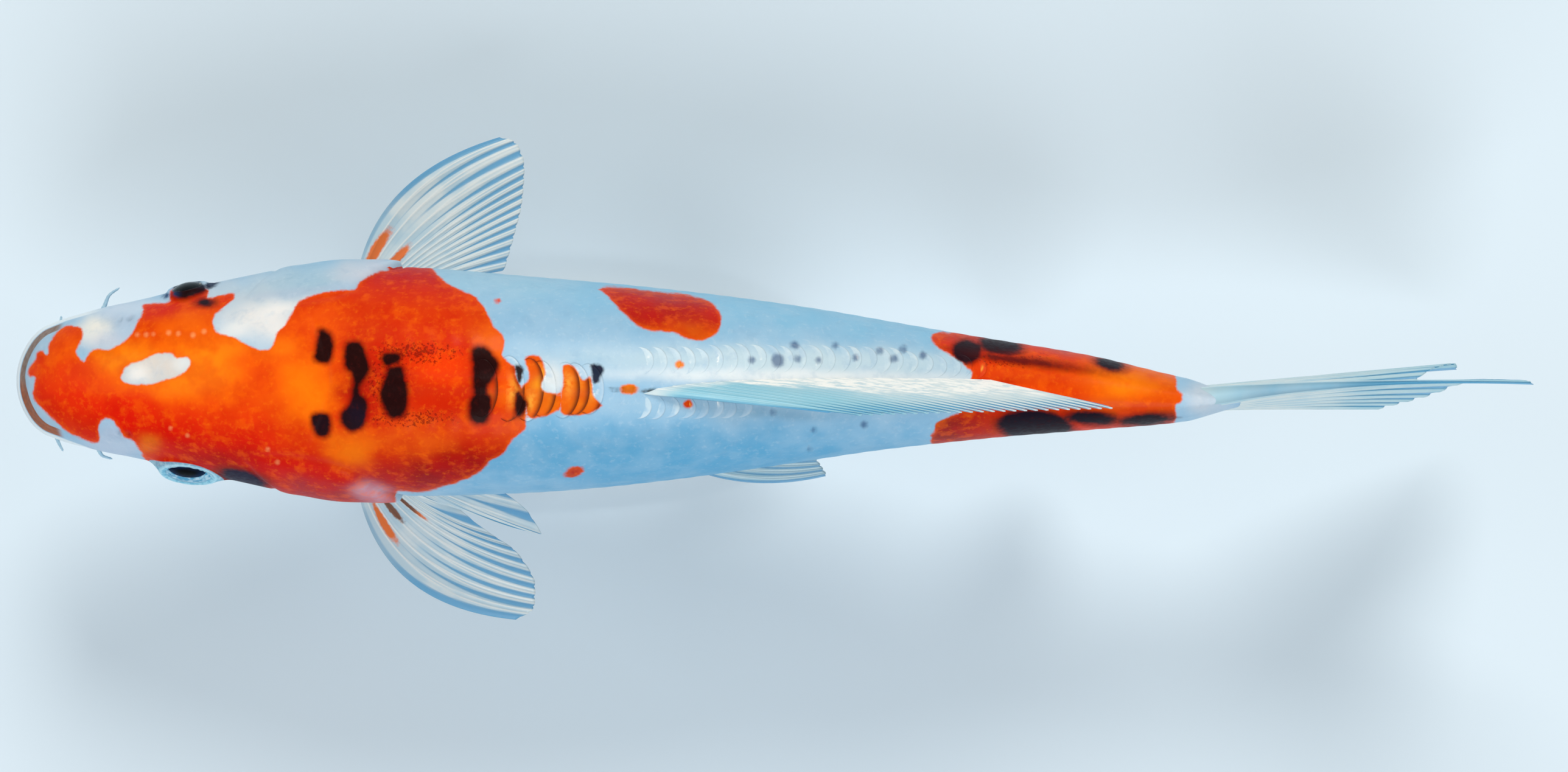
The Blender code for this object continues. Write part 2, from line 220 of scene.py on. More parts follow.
def grid_faces(rows, columns, closed=False):
    """Quads of a grid of points, with the last column joined to the first if it is closed."""
    i, j = np.meshgrid(np.arange(rows - 1), np.arange(columns - (not closed)), indexing="ij")
    a = i * columns + j
    b = i * columns + (j + 1) % columns
    return np.stack([a, a + columns, b + columns, b], -1).reshape(-1, 4)


# ---------------------------------------------------------------- the body's shape


def seen_from_above(p):
    """Where the camera sees points of the model, scaled to the level of the fish's long axis."""
    nearer = CAMERA_HEIGHT / (CAMERA_HEIGHT - p[..., 2])
    along, aside = p[..., 0] - VIEW_STATION, p[..., 1] - VIEW_ASIDE
    return VIEW_STATION + along * nearer, VIEW_ASIDE + aside * nearer


def plain_body(stations, turns):
    """Points of the plain body at stations and turns. Turn 0 is the back, and a quarter the right side."""
    half, top, bottom = np.moveaxis(section_at(stations), -1, 0)
    run = np.clip((stations - SNOUT_TIP) / SNOUT_LENGTH, 0, 1)
    rounding = np.sqrt(1 - (1 - run) ** 2)
    tail = np.clip((stations - TAIL_ROOT) / (BODY_END - TAIL_ROOT), 0, 1)
    half = half * rounding * (1 - 0.5 * tail**1.5)
    close = 1 - 0.16 * tail**2
    top = (MOUTH_LEVEL + (top - MOUTH_LEVEL) * rounding) * close
    bottom = (MOUTH_LEVEL + (bottom - MOUTH_LEVEL) * rounding) * close
    widest = bottom + WIDEST_SHARE * (top - bottom)
    across, up = np.sin(2 * math.pi * turns), np.cos(2 * math.pi * turns)
    power = 2 / ROUNDNESS
    reach = np.where(up > 0, top - widest, widest - bottom)
    aside = spine_at(stations)[..., 0] + half * np.sign(across) * np.abs(across) ** power
    level = widest + reach * np.sign(up) * np.abs(up) ** power
    return np.stack([stations + 0 * level, aside, level], -1)


def normals_of(grid):
    """Outward unit normals of a body grid."""
    along = np.gradient(grid, axis=0)
    around = np.empty_like(grid)
    around[:, 1:-1] = grid[:, 2:] - grid[:, :-2]
    around[:, 0] = grid[:, 1] - grid[:, -1]
    around[:, -1] = grid[:, 0] - grid[:, -2]
    return unit(np.cross(along, around))


mouth_line = curve_through([(-2, -10.4), (10, -13.6), (24, -19.0), (33, -23.5)])
# Stations of the rear edges of the gill covers and cheeks by level, and levels of the covers' top by station.
gill_rear = curve_through([
    (-62, 104), (-50, 114), (-38, 132), (-25, 149), (-10, 156.5), (6, 155.5), (20, 150), (30, 145),
    (38, 139), (46, 128),
])
cheek_rear = curve_through([(-46, 84), (-30, 99), (-12, 106), (6, 106), (22, 101), (34, 95)])
gill_top = curve_through([(98, 33), (108, 36), (120, 38.5), (132, 39), (144, 36)])
# Station and turn of the middle of each nostril, and where its two openings lie along it.
NOSTRILS = ((47.5, 0.122), (47.0, -0.108))
FRONT_OPENING, REAR_OPENING = -2.1, 1.9


def outline_round(u, v):
    """The corners of the convex outline round points of a plane, in order."""
    def half_of(points):
        corners = []
        for point in points:
            while len(corners) > 1:
                (a, b), (c, d) = corners[-2:]
                if (c - a) * (point[1] - b) - (d - b) * (point[0] - a) > 0:
                    break
                corners.pop()
            corners.append(point)
        return corners[:-1]

    points = sorted(zip(u.ravel().tolist(), v.ravel().tolist()))
    return np.array(half_of(points) + half_of(points[::-1]))


def inset_from_outline(p):
    """How far in from the head's outline, as seen from above, points of the head's upper side lie."""
    u, v = seen_from_above(p)
    rows = np.nonzero(p[:, 0, 0] < 62)[0]
    inset = np.full(u.shape, OFF_HEAD)
    inset[rows] = inside_by(u[rows], v[rows], outline_round(u[rows], v[rows]))
    return np.where(p[..., 2] > MOUTH_LEVEL + 1.5, inset, OFF_HEAD)


def shape_mouth(p, push):
    """Two full lips round the slit, a groove under the lower one and a fold at each corner."""
    station, level = p[..., 0], p[..., 2]
    above = level - mouth_line(station)[..., 0]
    tuck = 1.5 * (1 - ease(station, 6, 20))
    slit = 2.4 * bump(above, 0.9)
    upper_lip = 1.3 * bump(above - 4.2, 2.6)
    lower_lip = 1.6 * bump(above + 3.0, 2.4)
    chin_groove = 0.7 * bump(above + 7.6, 1.8) * (1 - ease(station, 20, 34))
    push += (upper_lip + lower_lip - slit) * (1 - ease(station, 28, 35)) - tuck - chin_groove
    corner = np.hypot(station - 35.5, (level + 25.5) * 0.55)
    push -= 0.9 * bump(corner - 2.0, 1.1) * (station > 33) * ease(-level, 14, 20)


def nostril_offsets(p):
    """For each nostril, how far along the head and how far aside from its middle the points lie."""
    for station, turn in NOSTRILS:
        away = p - plain_body(np.array([station]), np.array([turn]))[0]
        yield away[..., 0], np.linalg.norm(away[..., 1:], axis=-1)


def shape_nostrils(p, push):
    """A small round opening and a larger crescent behind it, with a flap of skin between them."""
    for along, aside in nostril_offsets(p):
        mound = 0.6 * bump(np.hypot(along, aside), 5.0)
        front = 1.5 * bump(np.hypot(along - FRONT_OPENING, aside), 1.25)
        rear = 1.9 * bump(np.hypot(along - REAR_OPENING, aside * 0.8), 1.45)
        flap = 0.7 * bump(np.hypot(along + 0.1, aside * 0.6), 1.0)
        push += mound - front - rear + flap


Eye = collections.namedtuple("Eye", "side look shift radius length depth opening")
# Where each eye looks, its shift from the CAD's eye, its radius, its length and depth as shares of a
# ball's, and the radius of the opening between the lids.
EYES = {
    1: Eye("right", (-0.2, 1.0, 0.24), (0.3, 0.0, 1.0), 9.0, 1.0, 0.75, 6.4),
    -1: Eye("left", (-0.10, -1.0, 0.5), (-0.3, -1.5, -2.6), 9.4, 1.30, 0.62, 7.3),
}


def eye_axes(sign):
    """An eye's middle, and its axes along the head, up its face and out of it."""
    eye = EYES[sign]
    box = np.array(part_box(f"eye_{eye.side}")) / MM
    out = unit(np.array(eye.look))
    along = unit(np.cross(out, (0, 0, 1.0)))
    middle = box.mean(0) - (STATION_0, 0, AXIS_HEIGHT) + eye.shift
    return middle, np.array([along * eye.length, np.cross(along, out), out * eye.depth])


def eye_places(p, sign):
    """Points along, up and out of an eye, in the measure in which it is a ball."""
    middle, axes = eye_axes(sign)
    return np.moveaxis((p - middle) @ (axes / (axes**2).sum(-1, keepdims=True)).T, -1, 0)


def shape_eyes(p):
    """Moves the skin to meet each eye: a soft mound, a lid's rim round the opening and a socket in it."""
    for sign, eye in EYES.items():
        along, up, out = eye_places(p, sign)
        ring = np.hypot(along, up)
        past = ring - eye.opening
        ball = np.sqrt(eye.radius**2 - np.minimum(ring, eye.opening) ** 2) * eye.depth
        edge = 0.42 * np.clip(past, -9, 1.0) + 1.5 * np.clip(past + 2.6, -2.0, 0)
        rim = 0.3 * bump(past - 1.7, 1.2) - 0.3 * bump(past - 3.9, 1.1) - 0.04 * np.clip(past, 0, None) ** 2
        reach = 4.8 + 5.0 * ease(-up, 0, 9)
        near = (1 - ease(past, 1.0, reach)) * (out * eye.depth > -9)
        p += (near * (ball + edge + rim - out * eye.depth))[..., None] * unit(np.array(eye.look))


def gill_softness(level):
    """0 where the gill covers' free edge is sharp, and 1 higher up, where it melts into the flesh."""
    return ease(level, 0, 24)


def shape_gills(p, push, aside):
    """The gill covers stand out of the flesh and end in a free rear edge."""
    station, level = p[..., 0], p[..., 2]
    behind_cover = station - gill_rear(level)[..., 0]
    behind_cheek = station - cheek_rear(level)[..., 0]
    above_cover = level - gill_top(station)[..., 0]
    belt = window(level, -60, -46, 31, 41)
    soft = gill_softness(level)
    past = ease(behind_cover, -0.5 - 3.0 * soft, 1.8 + 3.0 * soft)
    swell = ease(station, 92, 140) * (2.5 + 0.3 * bump(behind_cover + 6, 5)) * belt
    slit = 1.3 * bump(behind_cover - 1.9, 1.4) * belt * (1 - 0.8 * soft)
    push += swell * (1 - past) - slit
    cheek_edge = 0.5 * bump(behind_cheek - 5.5, 4.5) - 0.6 * bump(behind_cheek, 1.3)
    push += cheek_edge * window(level, -46, -36, 24, 34)
    upper_edge = 0.35 * bump(above_cover - 3.5, 2.6) - 0.5 * bump(above_cover, 1.5)
    push += upper_edge * window(station, 98, 110, 138, 146)
    # Under the throat the two covers meet in a fold, and the rays below each cover show as ridges.
    push -= bump(aside, 1.6) * window(station, 52, 66, 112, 124) * ease(-level, 34, 46)
    for ahead in (14.0, 18.5, 23.0):
        push += 0.35 * bump(behind_cover + ahead, 1.4) * ease(-level, 40, 48) * (1 - past)


def shape_head(p, push, aside):
    """The brow over each eye, the cheek under it, the nape and the small bones of the cheek."""
    station, level = p[..., 0], p[..., 2]
    side = np.abs(aside)
    brows = 0.9 * bump(station - 62, 24) * bump(side - 23, 6)
    forehead = 0.6 * bump(station - 66, 26) * bump(side, 9)
    push += (brows - forehead) * (level > 0)
    push -= 0.8 * bump(station - 52, 12) * bump(side - 31, 6) * (level > -12)
    above_seam = level + 13 + 0.10 * (station - 72)
    seam = 0.45 * bump(above_seam, 1.3) * window(station, 50, 58, 92, 100) * (side > 20)
    cheek = 0.8 * bump(above_seam + 9, 6) * window(station, 48, 60, 90, 104) * (side > 18)
    nape = 0.3 * bump(station - 133.5 + 0.012 * side**2, 1.2) * ease(level, 42, 48)
    push += cheek - seam - nape


def shape_trunk(p, push, aside):
    """The lateral line, faint muscle bands, the spine's ridge, the fleshy fin roots and the vent."""
    station, level = p[..., 0], p[..., 2]
    side = np.abs(aside)
    above_line = level - lateral_line(station)
    pitch = 5.2  # of the pores along the line
    from_pore = np.hypot(above_line, np.abs((station / pitch) % 1 - 0.5) * pitch)
    line = 0.25 * bump(above_line, 0.9) + 0.35 * bump(from_pore, 0.9)
    chevron = station + 9 * np.abs(np.sin(above_line / 17))
    muscles = 0.07 * np.sin(2 * math.pi * chevron / 8.6) * ease(side, 4, 10)
    push += (muscles - line) * window(station, 158, 166, 470, 486)
    spine = 0.6 * bump(aside, 2.2) * window(station, 120, 150, 250, 262)
    furrows = 0.4 * bump(side - 6.0, 3.0) * window(station, 130, 160, 238, 250)
    dorsal_root = 1.3 * bump(aside + 0.4, 3.2) * window(station, 246, 258, 392, 410)
    push += (spine - furrows + dorsal_root) * (level > 0)
    pectoral = np.hypot((station - 146) / 13.0, (level + 40) / 7.0)
    push += 2.4 * bump(pectoral, 1.0) * ease(station, 134, 142)
    push -= 0.8 * bump(pectoral - 1.5, 0.35) * ease(station, 150, 156)
    pelvic = np.hypot((station - 250) / 10.0, (side - 13) / 5.0)
    belly_furrow = 0.6 * bump(aside, 1.6) * window(station, 166, 190, 232, 244)
    push += (1.8 * bump(pelvic, 1.0) - belly_furrow) * (level < -40)
    vent_mound = 1.6 * bump(station - 361, 4.0) * bump(aside, 4.0)
    vent = 1.5 * bump(np.hypot(station - 359, aside * 1.6), 1.4)
    push += (vent_mound - vent) * (level < -20)
    push += 1.3 * bump(aside, 3.4) * window(station, 362, 370, 396, 408) * (level < 0)


def lateral_line(station):
    """The level of the sense line along each flank."""
    return 6.5 - 9.0 * ease(station, 150, 300)


AROUND = 224  # points round the body


def slanted(stations, turns):
    """Stations of the grid, shifted so that one ring of points follows the gill covers' free edge."""
    middle = 140.0
    level = plain_body(np.full(turns.shape, middle), turns)[..., 2]
    lean = (gill_rear(np.clip(level, -50, 44))[..., 0] - middle) * window(level, -64, -50, 36, 52)
    share = window(stations, 78, middle - 5, middle + 5, 204)
    return stations[:, None] + share[:, None] * lean


def body_grid():
    """Stations and turns of the grid, and the plain and the finished skin's points [ring, turn]."""
    arc = np.radians(np.linspace(3, 90, 20))
    last = BODY_END - 8
    stations = np.concatenate([
        SNOUT_TIP + SNOUT_LENGTH * (1 - np.cos(arc)),
        np.arange(11.9, 58, 0.95),
        np.arange(58, 92, 0.6),
        np.arange(92, 162, 0.78),
        np.arange(162, last, 1.85),
        np.linspace(last, BODY_END - 0.02, 9),
    ])
    turns = (np.arange(AROUND) + 0.5) / AROUND - 0.5
    grid = slanted(stations, turns)
    plain = plain_body(grid, turns)
    p = plain.copy()
    normal = normals_of(p)
    aside = p[..., 1] - spine_at(p[..., 0])[..., 0]
    push = np.zeros(aside.shape)
    shape_mouth(p, push)
    shape_nostrils(p, push)
    shape_gills(p, push, aside)
    shape_head(p, push, aside)
    shape_trunk(p, push, aside)
    p += push[..., None] * normal
    shape_eyes(p)
    lip_groove = 0.5 * bump(inset_from_outline(p) - 2.4, 1.0) * (1 - ease(p[..., 0], 15, 22))
    p -= lip_groove[..., None] * normals_of(p)
    return stations, turns, plain, p


STATIONS, TURNS, PLAIN, SKIN = body_grid()
SKIN_NORMAL = normals_of(SKIN)


def marking_places(p):
    """The markings' coordinates: as seen from above to the widest level, then on down each flank."""
    u, v = seen_from_above(p)
    half, top, bottom = np.moveaxis(section_at(p[..., 0]), -1, 0)
    spine = spine_at(p[..., 0])[..., 0]
    widest = bottom + WIDEST_SHARE * (top - bottom)
    below = np.clip(widest - p[..., 2], 0, None)
    side = np.sign(p[..., 1] - spine)
    return u, np.where(below > 0, spine + side * (half + 0.8 * below), v)


# ---------------------------------------------------------------- markings, as seen from above


def srgb(red, green, blue):
    """A display colour, 0 to 255, as the linear colour that shaders use."""
    shares = np.array([red, green, blue]) / 255
    return np.where(shares <= 0.04045, shares / 12.92, ((shares + 0.055) / 1.055) ** 2.4)


HEAD_PATCH = (
    (4.8, 6), (5, 3.3), (7.5, 2.8), (6.3, -4), (9.8, -9.5), (14.3, -14), (19.8, -18.5), (26.5, -22.3),
    (33.3, -23.8), (33.8, -17.3), (35.5, -14.5), (38.3, -14.5), (41, -17.3), (44.3, -21.3), (47.8, -23.5),
    (51, -28), (53.8, -32.5), (60, -34), (67.8, -35), (75.5, -36.5), (82.3, -38.6), (88, -44), (100, -56),
    (120, -62), (138, -60), (150, -56), (155, -50), (156.3, -44), (165, -44.3), (175.3, -42), (184, -39),
    (190.8, -35.3), (194, -31.8), (199.8, -28.5), (203, -23), (208.5, -18.5), (209.3, -14), (208.5, -4),
    (205.5, 2), (204.8, 7.3), (203, 8.3), (199.3, 11.8), (200, 15), (199.8, 19.5), (195.8, 24),
    (193, 29.5), (188.5, 35.8), (183, 38.5), (176.3, 41.8), (173, 44.8), (170, 48.5), (165, 54),
    (155, 56), (146, 52), (153, 47.5), (148.3, 46.3), (141.8, 43), (138, 38.8), (130.3, 38.8),
    (120.3, 36.3), (115.8, 34), (113, 29.5), (109.8, 24.5), (106.8, 21.8), (105.3, 16.8), (103, 14.5),
    (98, 14.8), (93.5, 16.8), (87.8, 20), (82.3, 21.3), (80.5, 25), (81.3, 28.5), (84.5, 31.3),
    (88.5, 34.5), (89.3, 36.8), (87.3, 37.5), (82.3, 36.3), (78.4, 35.6), (78.6, 38.4), (76, 39.6),
    (64.5, 39.2), (62.5, 37), (62.3, 33.8), (53.8, 33.5), (51.5, 32.3), (51.5, 29.5), (48.8, 24),
    (45.5, 19.5), (42, 16.3), (37.5, 14.5), (31.5, 14.5), (28.8, 11.8), (27.5, 9.5), (24.8, 11.8),
    (24.3, 14), (26.5, 18.5), (26.8, 22.8), (24.3, 24), (19.8, 24), (15.3, 20), (13, 16.3), (12.5, 12),
    (9.8, 14), (8, 12.8), (7.5, 10),
)
HEAD_SPOT = (
    (42.8, 2.3), (43.3, 5), (45.5, 7.8), (51, 9.8), (56.5, 12.3), (63, 13), (65.5, 10.5), (70, 11),
    (71, 8.3), (69, 5.5), (65.5, 3.3), (60, 1.8), (53.3, 0), (46.5, 0.3),
)
FLANK_PATCH = (
    (239.3, 39.5), (243.3, 40.3), (253.3, 39.5), (264.5, 38), (275.5, 36.8), (283.5, 34.5), (287.8, 30.8),
    (289.5, 26.3), (287.3, 21.3), (281.3, 18), (274.5, 19), (270, 21.3), (261, 22.3), (254.3, 24.5),
    (248.8, 29.5), (244.3, 34.5), (240.5, 38),
)
TAIL_PATCH = (
    (375.3, 19.5), (379.5, 21.8), (384, 21.3), (388, 28), (420, 26), (450, 20), (470, 14), (475.8, 3),
    (476.3, -1.5), (478.5, -3.8), (478, -7.3), (475.8, -8.8), (475.8, -13.8), (470, -22), (440, -28),
    (400, -34), (380, -34), (375.3, -22.3), (377, -19.5), (377.5, -16), (382.5, -13.3), (388, -10),
    (392, 3.5), (390.3, 6.8), (388, 9.5), (382.5, 12.3), (378, 15.8),
)
FRONT_SCALES_PATCH = (
    (208.5, 10.5), (211, 12), (214.3, 11.8), (216.3, 8.8), (217, 4.3), (215.5, -2), (222.5, -4.5),
    (223, -9.5), (219.3, -12), (211.8, -13.8), (209.3, -12), (209, -8.3), (206.8, -2), (210, 1.8),
    (210, 6.8),
)
REAR_SCALES_PATCH = (
    (224, 7.5), (227.5, 7.8), (230, 5.5), (232.5, 1.8), (235.5, 3.5), (236.3, -2), (236.8, -4.5),
    (240.5, -8.3), (240, -9.5), (235, -12), (230.5, -12.8), (225.5, -12.8), (223, -10.8), (223.5, -4.5),
    (224.3, 0.5),
)
COVER_RED_EDGE = 39.5  # the red on the right gill cover ends at this v
RED_OUTLINES = (HEAD_PATCH, FLANK_PATCH, TAIL_PATCH, FRONT_SCALES_PATCH, REAR_SCALES_PATCH)
# The pale lids round the left eye.
LEFT_LID = (
    (53.6, -31.9), (60, -31.7), (66, -31.9), (72, -32.8), (77, -34.3), (81.5, -36.5), (85.3, -39.6),
    (84, -44), (70, -48), (58, -44),
)
# Centre u, v, then half length, half width and tilt in degrees.
RED_SPOTS = (
    ((228.8, -36), 4.1, 2.1, 20),
    ((197.5, 34.3), 1.6, 1.2, 0),
    ((251.5, -1.8), 4.0, 2.2, 0),
    ((272.3, 8.3), 2.0, 1.8, 0),
    ((275.5, -8), 2.0, 1.8, 0),
    ((403, 4), 8.0, 3.6, -8),
)
BLACK_OUTLINES = (
    # The first outline blacks the lids round the right eye: painted shade of the lids, joined to the eye's
    # own dark.
    (
        (64.6, 36.4), (68, 35.7), (72, 36.5), (76.5, 38.1), (77.6, 39.8), (74, 42.5), (66, 41.5),
        (64.2, 38.4),
    ),
    (
        (124, 21.5), (126, 22), (128.8, 20), (129.3, 14.3), (128.3, 9.3), (124.5, 9.3), (122, 11),
        (123.3, 14.3),
    ),
    ((121.5, -13), (126.8, -12.3), (128, -14.5), (127.8, -20.5), (124.3, -20.8), (122.5, -18.3)),
    (
        (135.5, 16.8), (140.5, 16.8), (142.5, 13), (144.3, 8), (143.8, 5), (140.6, 0), (138.7, 0),
        (138, 5), (135, 7.5), (135, 13),
    ),
    (
        (138.9, 1.5), (140.4, 1.5), (140.6, -4), (143.5, -7), (143, -13.3), (141, -17.5), (137.3, -18.8),
        (134.3, -16.3), (133.5, -12), (136.8, -7.5),
    ),
    (
        (153, 6.5), (158, 7), (159, 3), (160, -4.5), (159.5, -10.8), (156.8, -13.3), (153, -12.8),
        (150.5, -8.3), (149.8, -3.3), (151.5, 3),
    ),
    ((151, 12.3), (156.8, 12.3), (156.8, 10), (153, 8), (151, 8.8)),
    (
        (187.5, 14), (191.8, 15), (195, 11.8), (197.3, 8), (196, 3.5), (193, 0), (192.3, -3.3),
        (188, -3.3), (187.5, 5.5),
    ),
    (
        (190.5, -3.3), (193.8, -5), (194.5, -8.3), (193, -14.5), (190, -16), (186.8, -14.5), (186, -9.5),
        (187.5, -4.5),
    ),
    ((204.3, 8), (206.8, 7.5), (208, 5), (207, 1), (205.8, 0.5), (204.8, 4.3)),
    ((205.5, -3.3), (208, -5.8), (209.5, -8.3), (207.5, -12.5), (205, -12.8), (205, -8.3)),
    ((235.8, 8), (238.5, 8.5), (241.3, 6.8), (239.3, 1.8), (236.8, 0.5), (236, 4.3)),
)
BLACK_SPOTS = (
    ((390, 13.5), 5.8, 4.6, 0),
    ((403.8, 16), 8.2, 3.8, -10),
    ((449, 8.5), 5.3, 2.5, -15),
    ((418, -17), 15, 6.2, -4),
    ((441, -13.8), 9.4, 2.5, -4),
    ((464.3, -14.5), 10, 2.2, 4),
    ((77.3, 33.8), 2.5, 1.3, 0),
    ((80.0, 41.4), 3.4, 1.5, 30),
    ((61.3, 36.6), 1.6, 0.8, 10),
    ((245.5, -2.0), 2.2, 0.8, -3),
    ((259.5, -2.6), 3.2, 0.85, -3),
    ((276.0, -3.3), 3.8, 0.8, -2),
    ((412.0, 9.8), 14.0, 1.0, -8),
    ((93, -38.8), 9.4, 3.2, -15),
)
# Clouds of fine dark specks: centre u, v, half length, half width and strength.
SPECK_CLOUDS = (
    (164, 13, 19, 5.0, 1.0),
    (162, -14, 19, 4.0, 0.9),
    (152, 1, 10, 12, 0.8),
    (410, 10, 22, 4, 0.6),
)
# Small bluish dots of pigment along the rear of the back: centre u, v and radius.
BLUE_DOTS = (
    (319.3, 16.3, 1.5), (336, 16, 1.3), (354.3, 13.8, 1.2), (363.8, 14.3, 1.3), (301.8, 10, 1.2),
    (312.5, 9.8, 2.6), (320.5, 10.5, 1.0), (329.3, 10, 1.0), (310.5, -11.5, 1.0), (348, -16.5, 1.3),
    (325.5, -26.5, 0.7), (327.3, -18.5, 0.8), (360, 10.5, 1.4), (344.5, 11, 0.9), (372, 12, 1.3),
)
# The sense pores along the head's right side, and two more on its left: centre u, v and radius.
HEAD_PORES = (
    (49.3, 20.5, 0.7), (53, 20.5, 0.8), (56, 20.8, 0.6), (62.3, 21.3, 0.9), (66.3, 21, 0.8),
    (72.3, 20.3, 0.9), (76.8, 21.8, 0.8), (63, -18, 0.6), (103, -26.6, 0.7), (107, -32, 0.8),
    (70, -21, 0.6),
)

# Soft fields of colour: centre u, v, half length, half width, tilt, strength and display colour.
BODY_WHITE = (146, 186, 212)
GROUND_FIELDS = (
    # Painted shade: the left flank darker and bluer, as on the side away from the light.
    ((300, -34), 160, 18, -3, 0.85, (74, 156, 198)),
    ((310, 36), 140, 13, -5, 0.5, (112, 184, 214)),
    ((100, 30), 24, 13, -10, 0.9, (206, 210, 212)),
    ((101, 26), 14, 7, 0, 0.9, (232, 228, 222)),
    ((112, 33), 12, 3, 18, 0.8, (246, 240, 232)),
    ((88, 22), 6, 5, 0, 0.6, (238, 236, 230)),
    ((122, 43), 28, 6, 10, 0.8, (162, 190, 204)),
    ((118, 38), 20, 2, 6, 0.5, (170, 182, 200)),
    ((148, 46), 8, 7, 30, 0.7, (196, 196, 208)),
    ((148, -44), 8, 5, -20, 0.8, (196, 196, 204)),
    ((45, 26), 14, 8, 0, 0.6, (190, 199, 214)),
    ((50, 32), 18, 3, 8, 0.6, (206, 218, 230)),
    ((31, 22), 7, 6, 0, 0.95, (238, 234, 222)),
    ((38, 17), 9, 4, 0, 0.5, (205, 205, 214)),
    ((57, 6.5), 18, 9, 0, 0.9, (222, 208, 192)),
    ((50, 4), 5, 4, 0, 0.7, (240, 238, 232)),
    ((68, 9), 4, 3, 0, 0.6, (240, 236, 226)),
    ((10, 0), 11, 30, 0, 0.6, (176, 197, 214)),
    ((40, -25), 12, 9, 0, 0.6, (196, 200, 216)),
    ((220, 2), 6, 8, 0, 0.9, (222, 222, 216)),
    ((192, 44), 34, 7, -6, 0.5, (168, 200, 214)),
    ((318, 9.5), 86, 6, -1, 0.85, (196, 214, 218)),
    ((325, 3), 75, 3, -1, 0.9, (232, 236, 234)),
    # Painted shadow of the folded back fin on the left of the back.
    ((308, -11.5), 24, 2.2, -4, 0.6, (72, 132, 166)),
    ((300, -9), 50, 5, 0, 0.35, (178, 202, 214)),
    ((489, -6), 9, 8, 0, 0.7, (206, 206, 208)),
    ((137, 46), 8, 5, 0, 0.5, (214, 208, 212)),
)
HI_RED = (214, 46, 2)
HI_FIELDS = (
    ((18, 2), 14, 13, 0, 0.7, (232, 44, 6)),
    ((17, 17), 9, 7, 0, 0.8, (240, 84, 8)),
    ((30, 3), 8, 10, 0, 0.5, (224, 36, 6)),
    ((62, 8), 36, 17, 0, 0.95, (248, 100, 2)),
    ((76, 9), 12, 13, 0, 0.85, (254, 134, 6)),
    ((44, 12), 13, 6, 0, 0.85, (252, 138, 12)),
    ((58, -1), 16, 5, 4, 0.7, (252, 124, 6)),
    ((90, 15), 12, 5, 0, 0.7, (250, 128, 14)),
    ((75, 24), 13, 7, 0, 0.7, (240, 96, 10)),
    ((58, 32), 9, 4, 0, 0.8, (206, 22, 8)),
    ((80, -2), 10, 6, 0, 0.6, (252, 122, 8)),
    ((44, -10), 26, 8, -12, 0.85, (226, 26, 4)),
    ((60, -22), 26, 8, -10, 0.9, (214, 10, 2)),
    ((54, -24), 5, 4, 0, 0.8, (226, 116, 14)),
    ((86, -14), 20, 8, -8, 0.6, (236, 60, 6)),
    ((95, -27), 22, 7, -12, 0.8, (222, 28, 8)),
    ((104, 2), 12, 12, 0, 0.6, (236, 78, 6)),
    ((120, -2), 13, 12, 0, 0.95, (251, 118, 4)),
    ((125, 24), 16, 11, 0, 0.7, (244, 92, 8)),
    ((108, 16), 8, 5, 0, 0.7, (250, 120, 10)),
    ((160, 31), 30, 12, 0, 0.85, (218, 56, 2)),
    ((142, 12), 9, 16, 0, 0.7, (198, 46, 6)),
    ((142, -3), 9, 14, 0, 0.85, (164, 22, 6)),
    ((156, 0), 10, 15, 0, 0.75, (186, 36, 6)),
    ((176, 6), 12, 7, 0, 0.8, (238, 62, 6)),
    ((180, -10), 14, 9, 0, 0.85, (190, 30, 2)),
    ((190, 4), 6, 18, 0, 0.6, (188, 36, 6)),
    ((201, 0), 4, 9, 0, 0.9, (240, 72, 8)),
    ((196, 18), 12, 6, -50, 0.7, (240, 104, 10)),
    ((162, -22), 36, 7, 4, 0.85, (226, 86, 8)),
    ((136.5, -27), 10, 7, 0, 0.9, (238, 112, 6)),
    ((196, -18), 14, 9, 30, 0.6, (212, 54, 6)),
    # The left flank's own crimson, made darker as painted shade where the flank turns away.
    ((176, -37), 36, 9, 10, 1.0, (146, 0, 0)),
    ((160, 47), 24, 7, -6, 1.0, (186, 0, 8)),
    # The left cheek's own crimson, made darker as painted shade where the cheek turns away.
    ((88, -33), 24, 6, -8, 0.95, (164, 0, 0)),
    ((116, -35), 22, 5, -10, 0.7, (210, 20, 16)),
    ((125, -48), 40, 9, 2, 0.85, (150, 30, 48)),
    ((147, -45), 8, 3.6, -14, 0.9, (196, 170, 186)),
    ((222, -3), 20, 14, 0, 0.9, (226, 112, 12)),
    ((215.5, 1), 3.5, 3, 0, 0.8, (240, 156, 30)),
    ((264, 30), 32, 12, -8, 1.0, (176, 18, 4)),
    ((276, 20.5), 20, 4.5, -4, 0.9, (214, 84, 4)),
    ((264, 39), 26, 4, -10, 0.85, (150, 56, 66)),
    ((384, 22), 12, 5, -8, 0.85, (178, 48, 34)),
    ((428, 18), 46, 4.5, -12, 0.85, (164, 74, 74)),
    ((404, 8), 24, 6, -8, 0.8, (226, 56, 6)),
    ((432, 4), 30, 8, -6, 0.8, (228, 78, 2)),
    ((458, 0), 15, 8, -6, 0.95, (246, 126, 6)),
    ((470, 0), 9, 8, 0, 0.8, (232, 104, 6)),
    ((450, -9), 30, 5, 0, 0.6, (214, 78, 10)),
    ((384, -18), 16, 9, 0, 0.95, (128, 30, 26)),
    ((420, -27), 40, 6, 4, 0.6, (186, 40, 30)),
    ((228.8, -36), 7, 4, 0, 0.9, (160, 48, 30)),
    ((252, -2), 10, 4, 0, 0.95, (240, 134, 28)),
    ((272, 8), 5, 4, 0, 0.9, (240, 150, 60)),
)
SUMI_BROWN = (26, 6, 6)
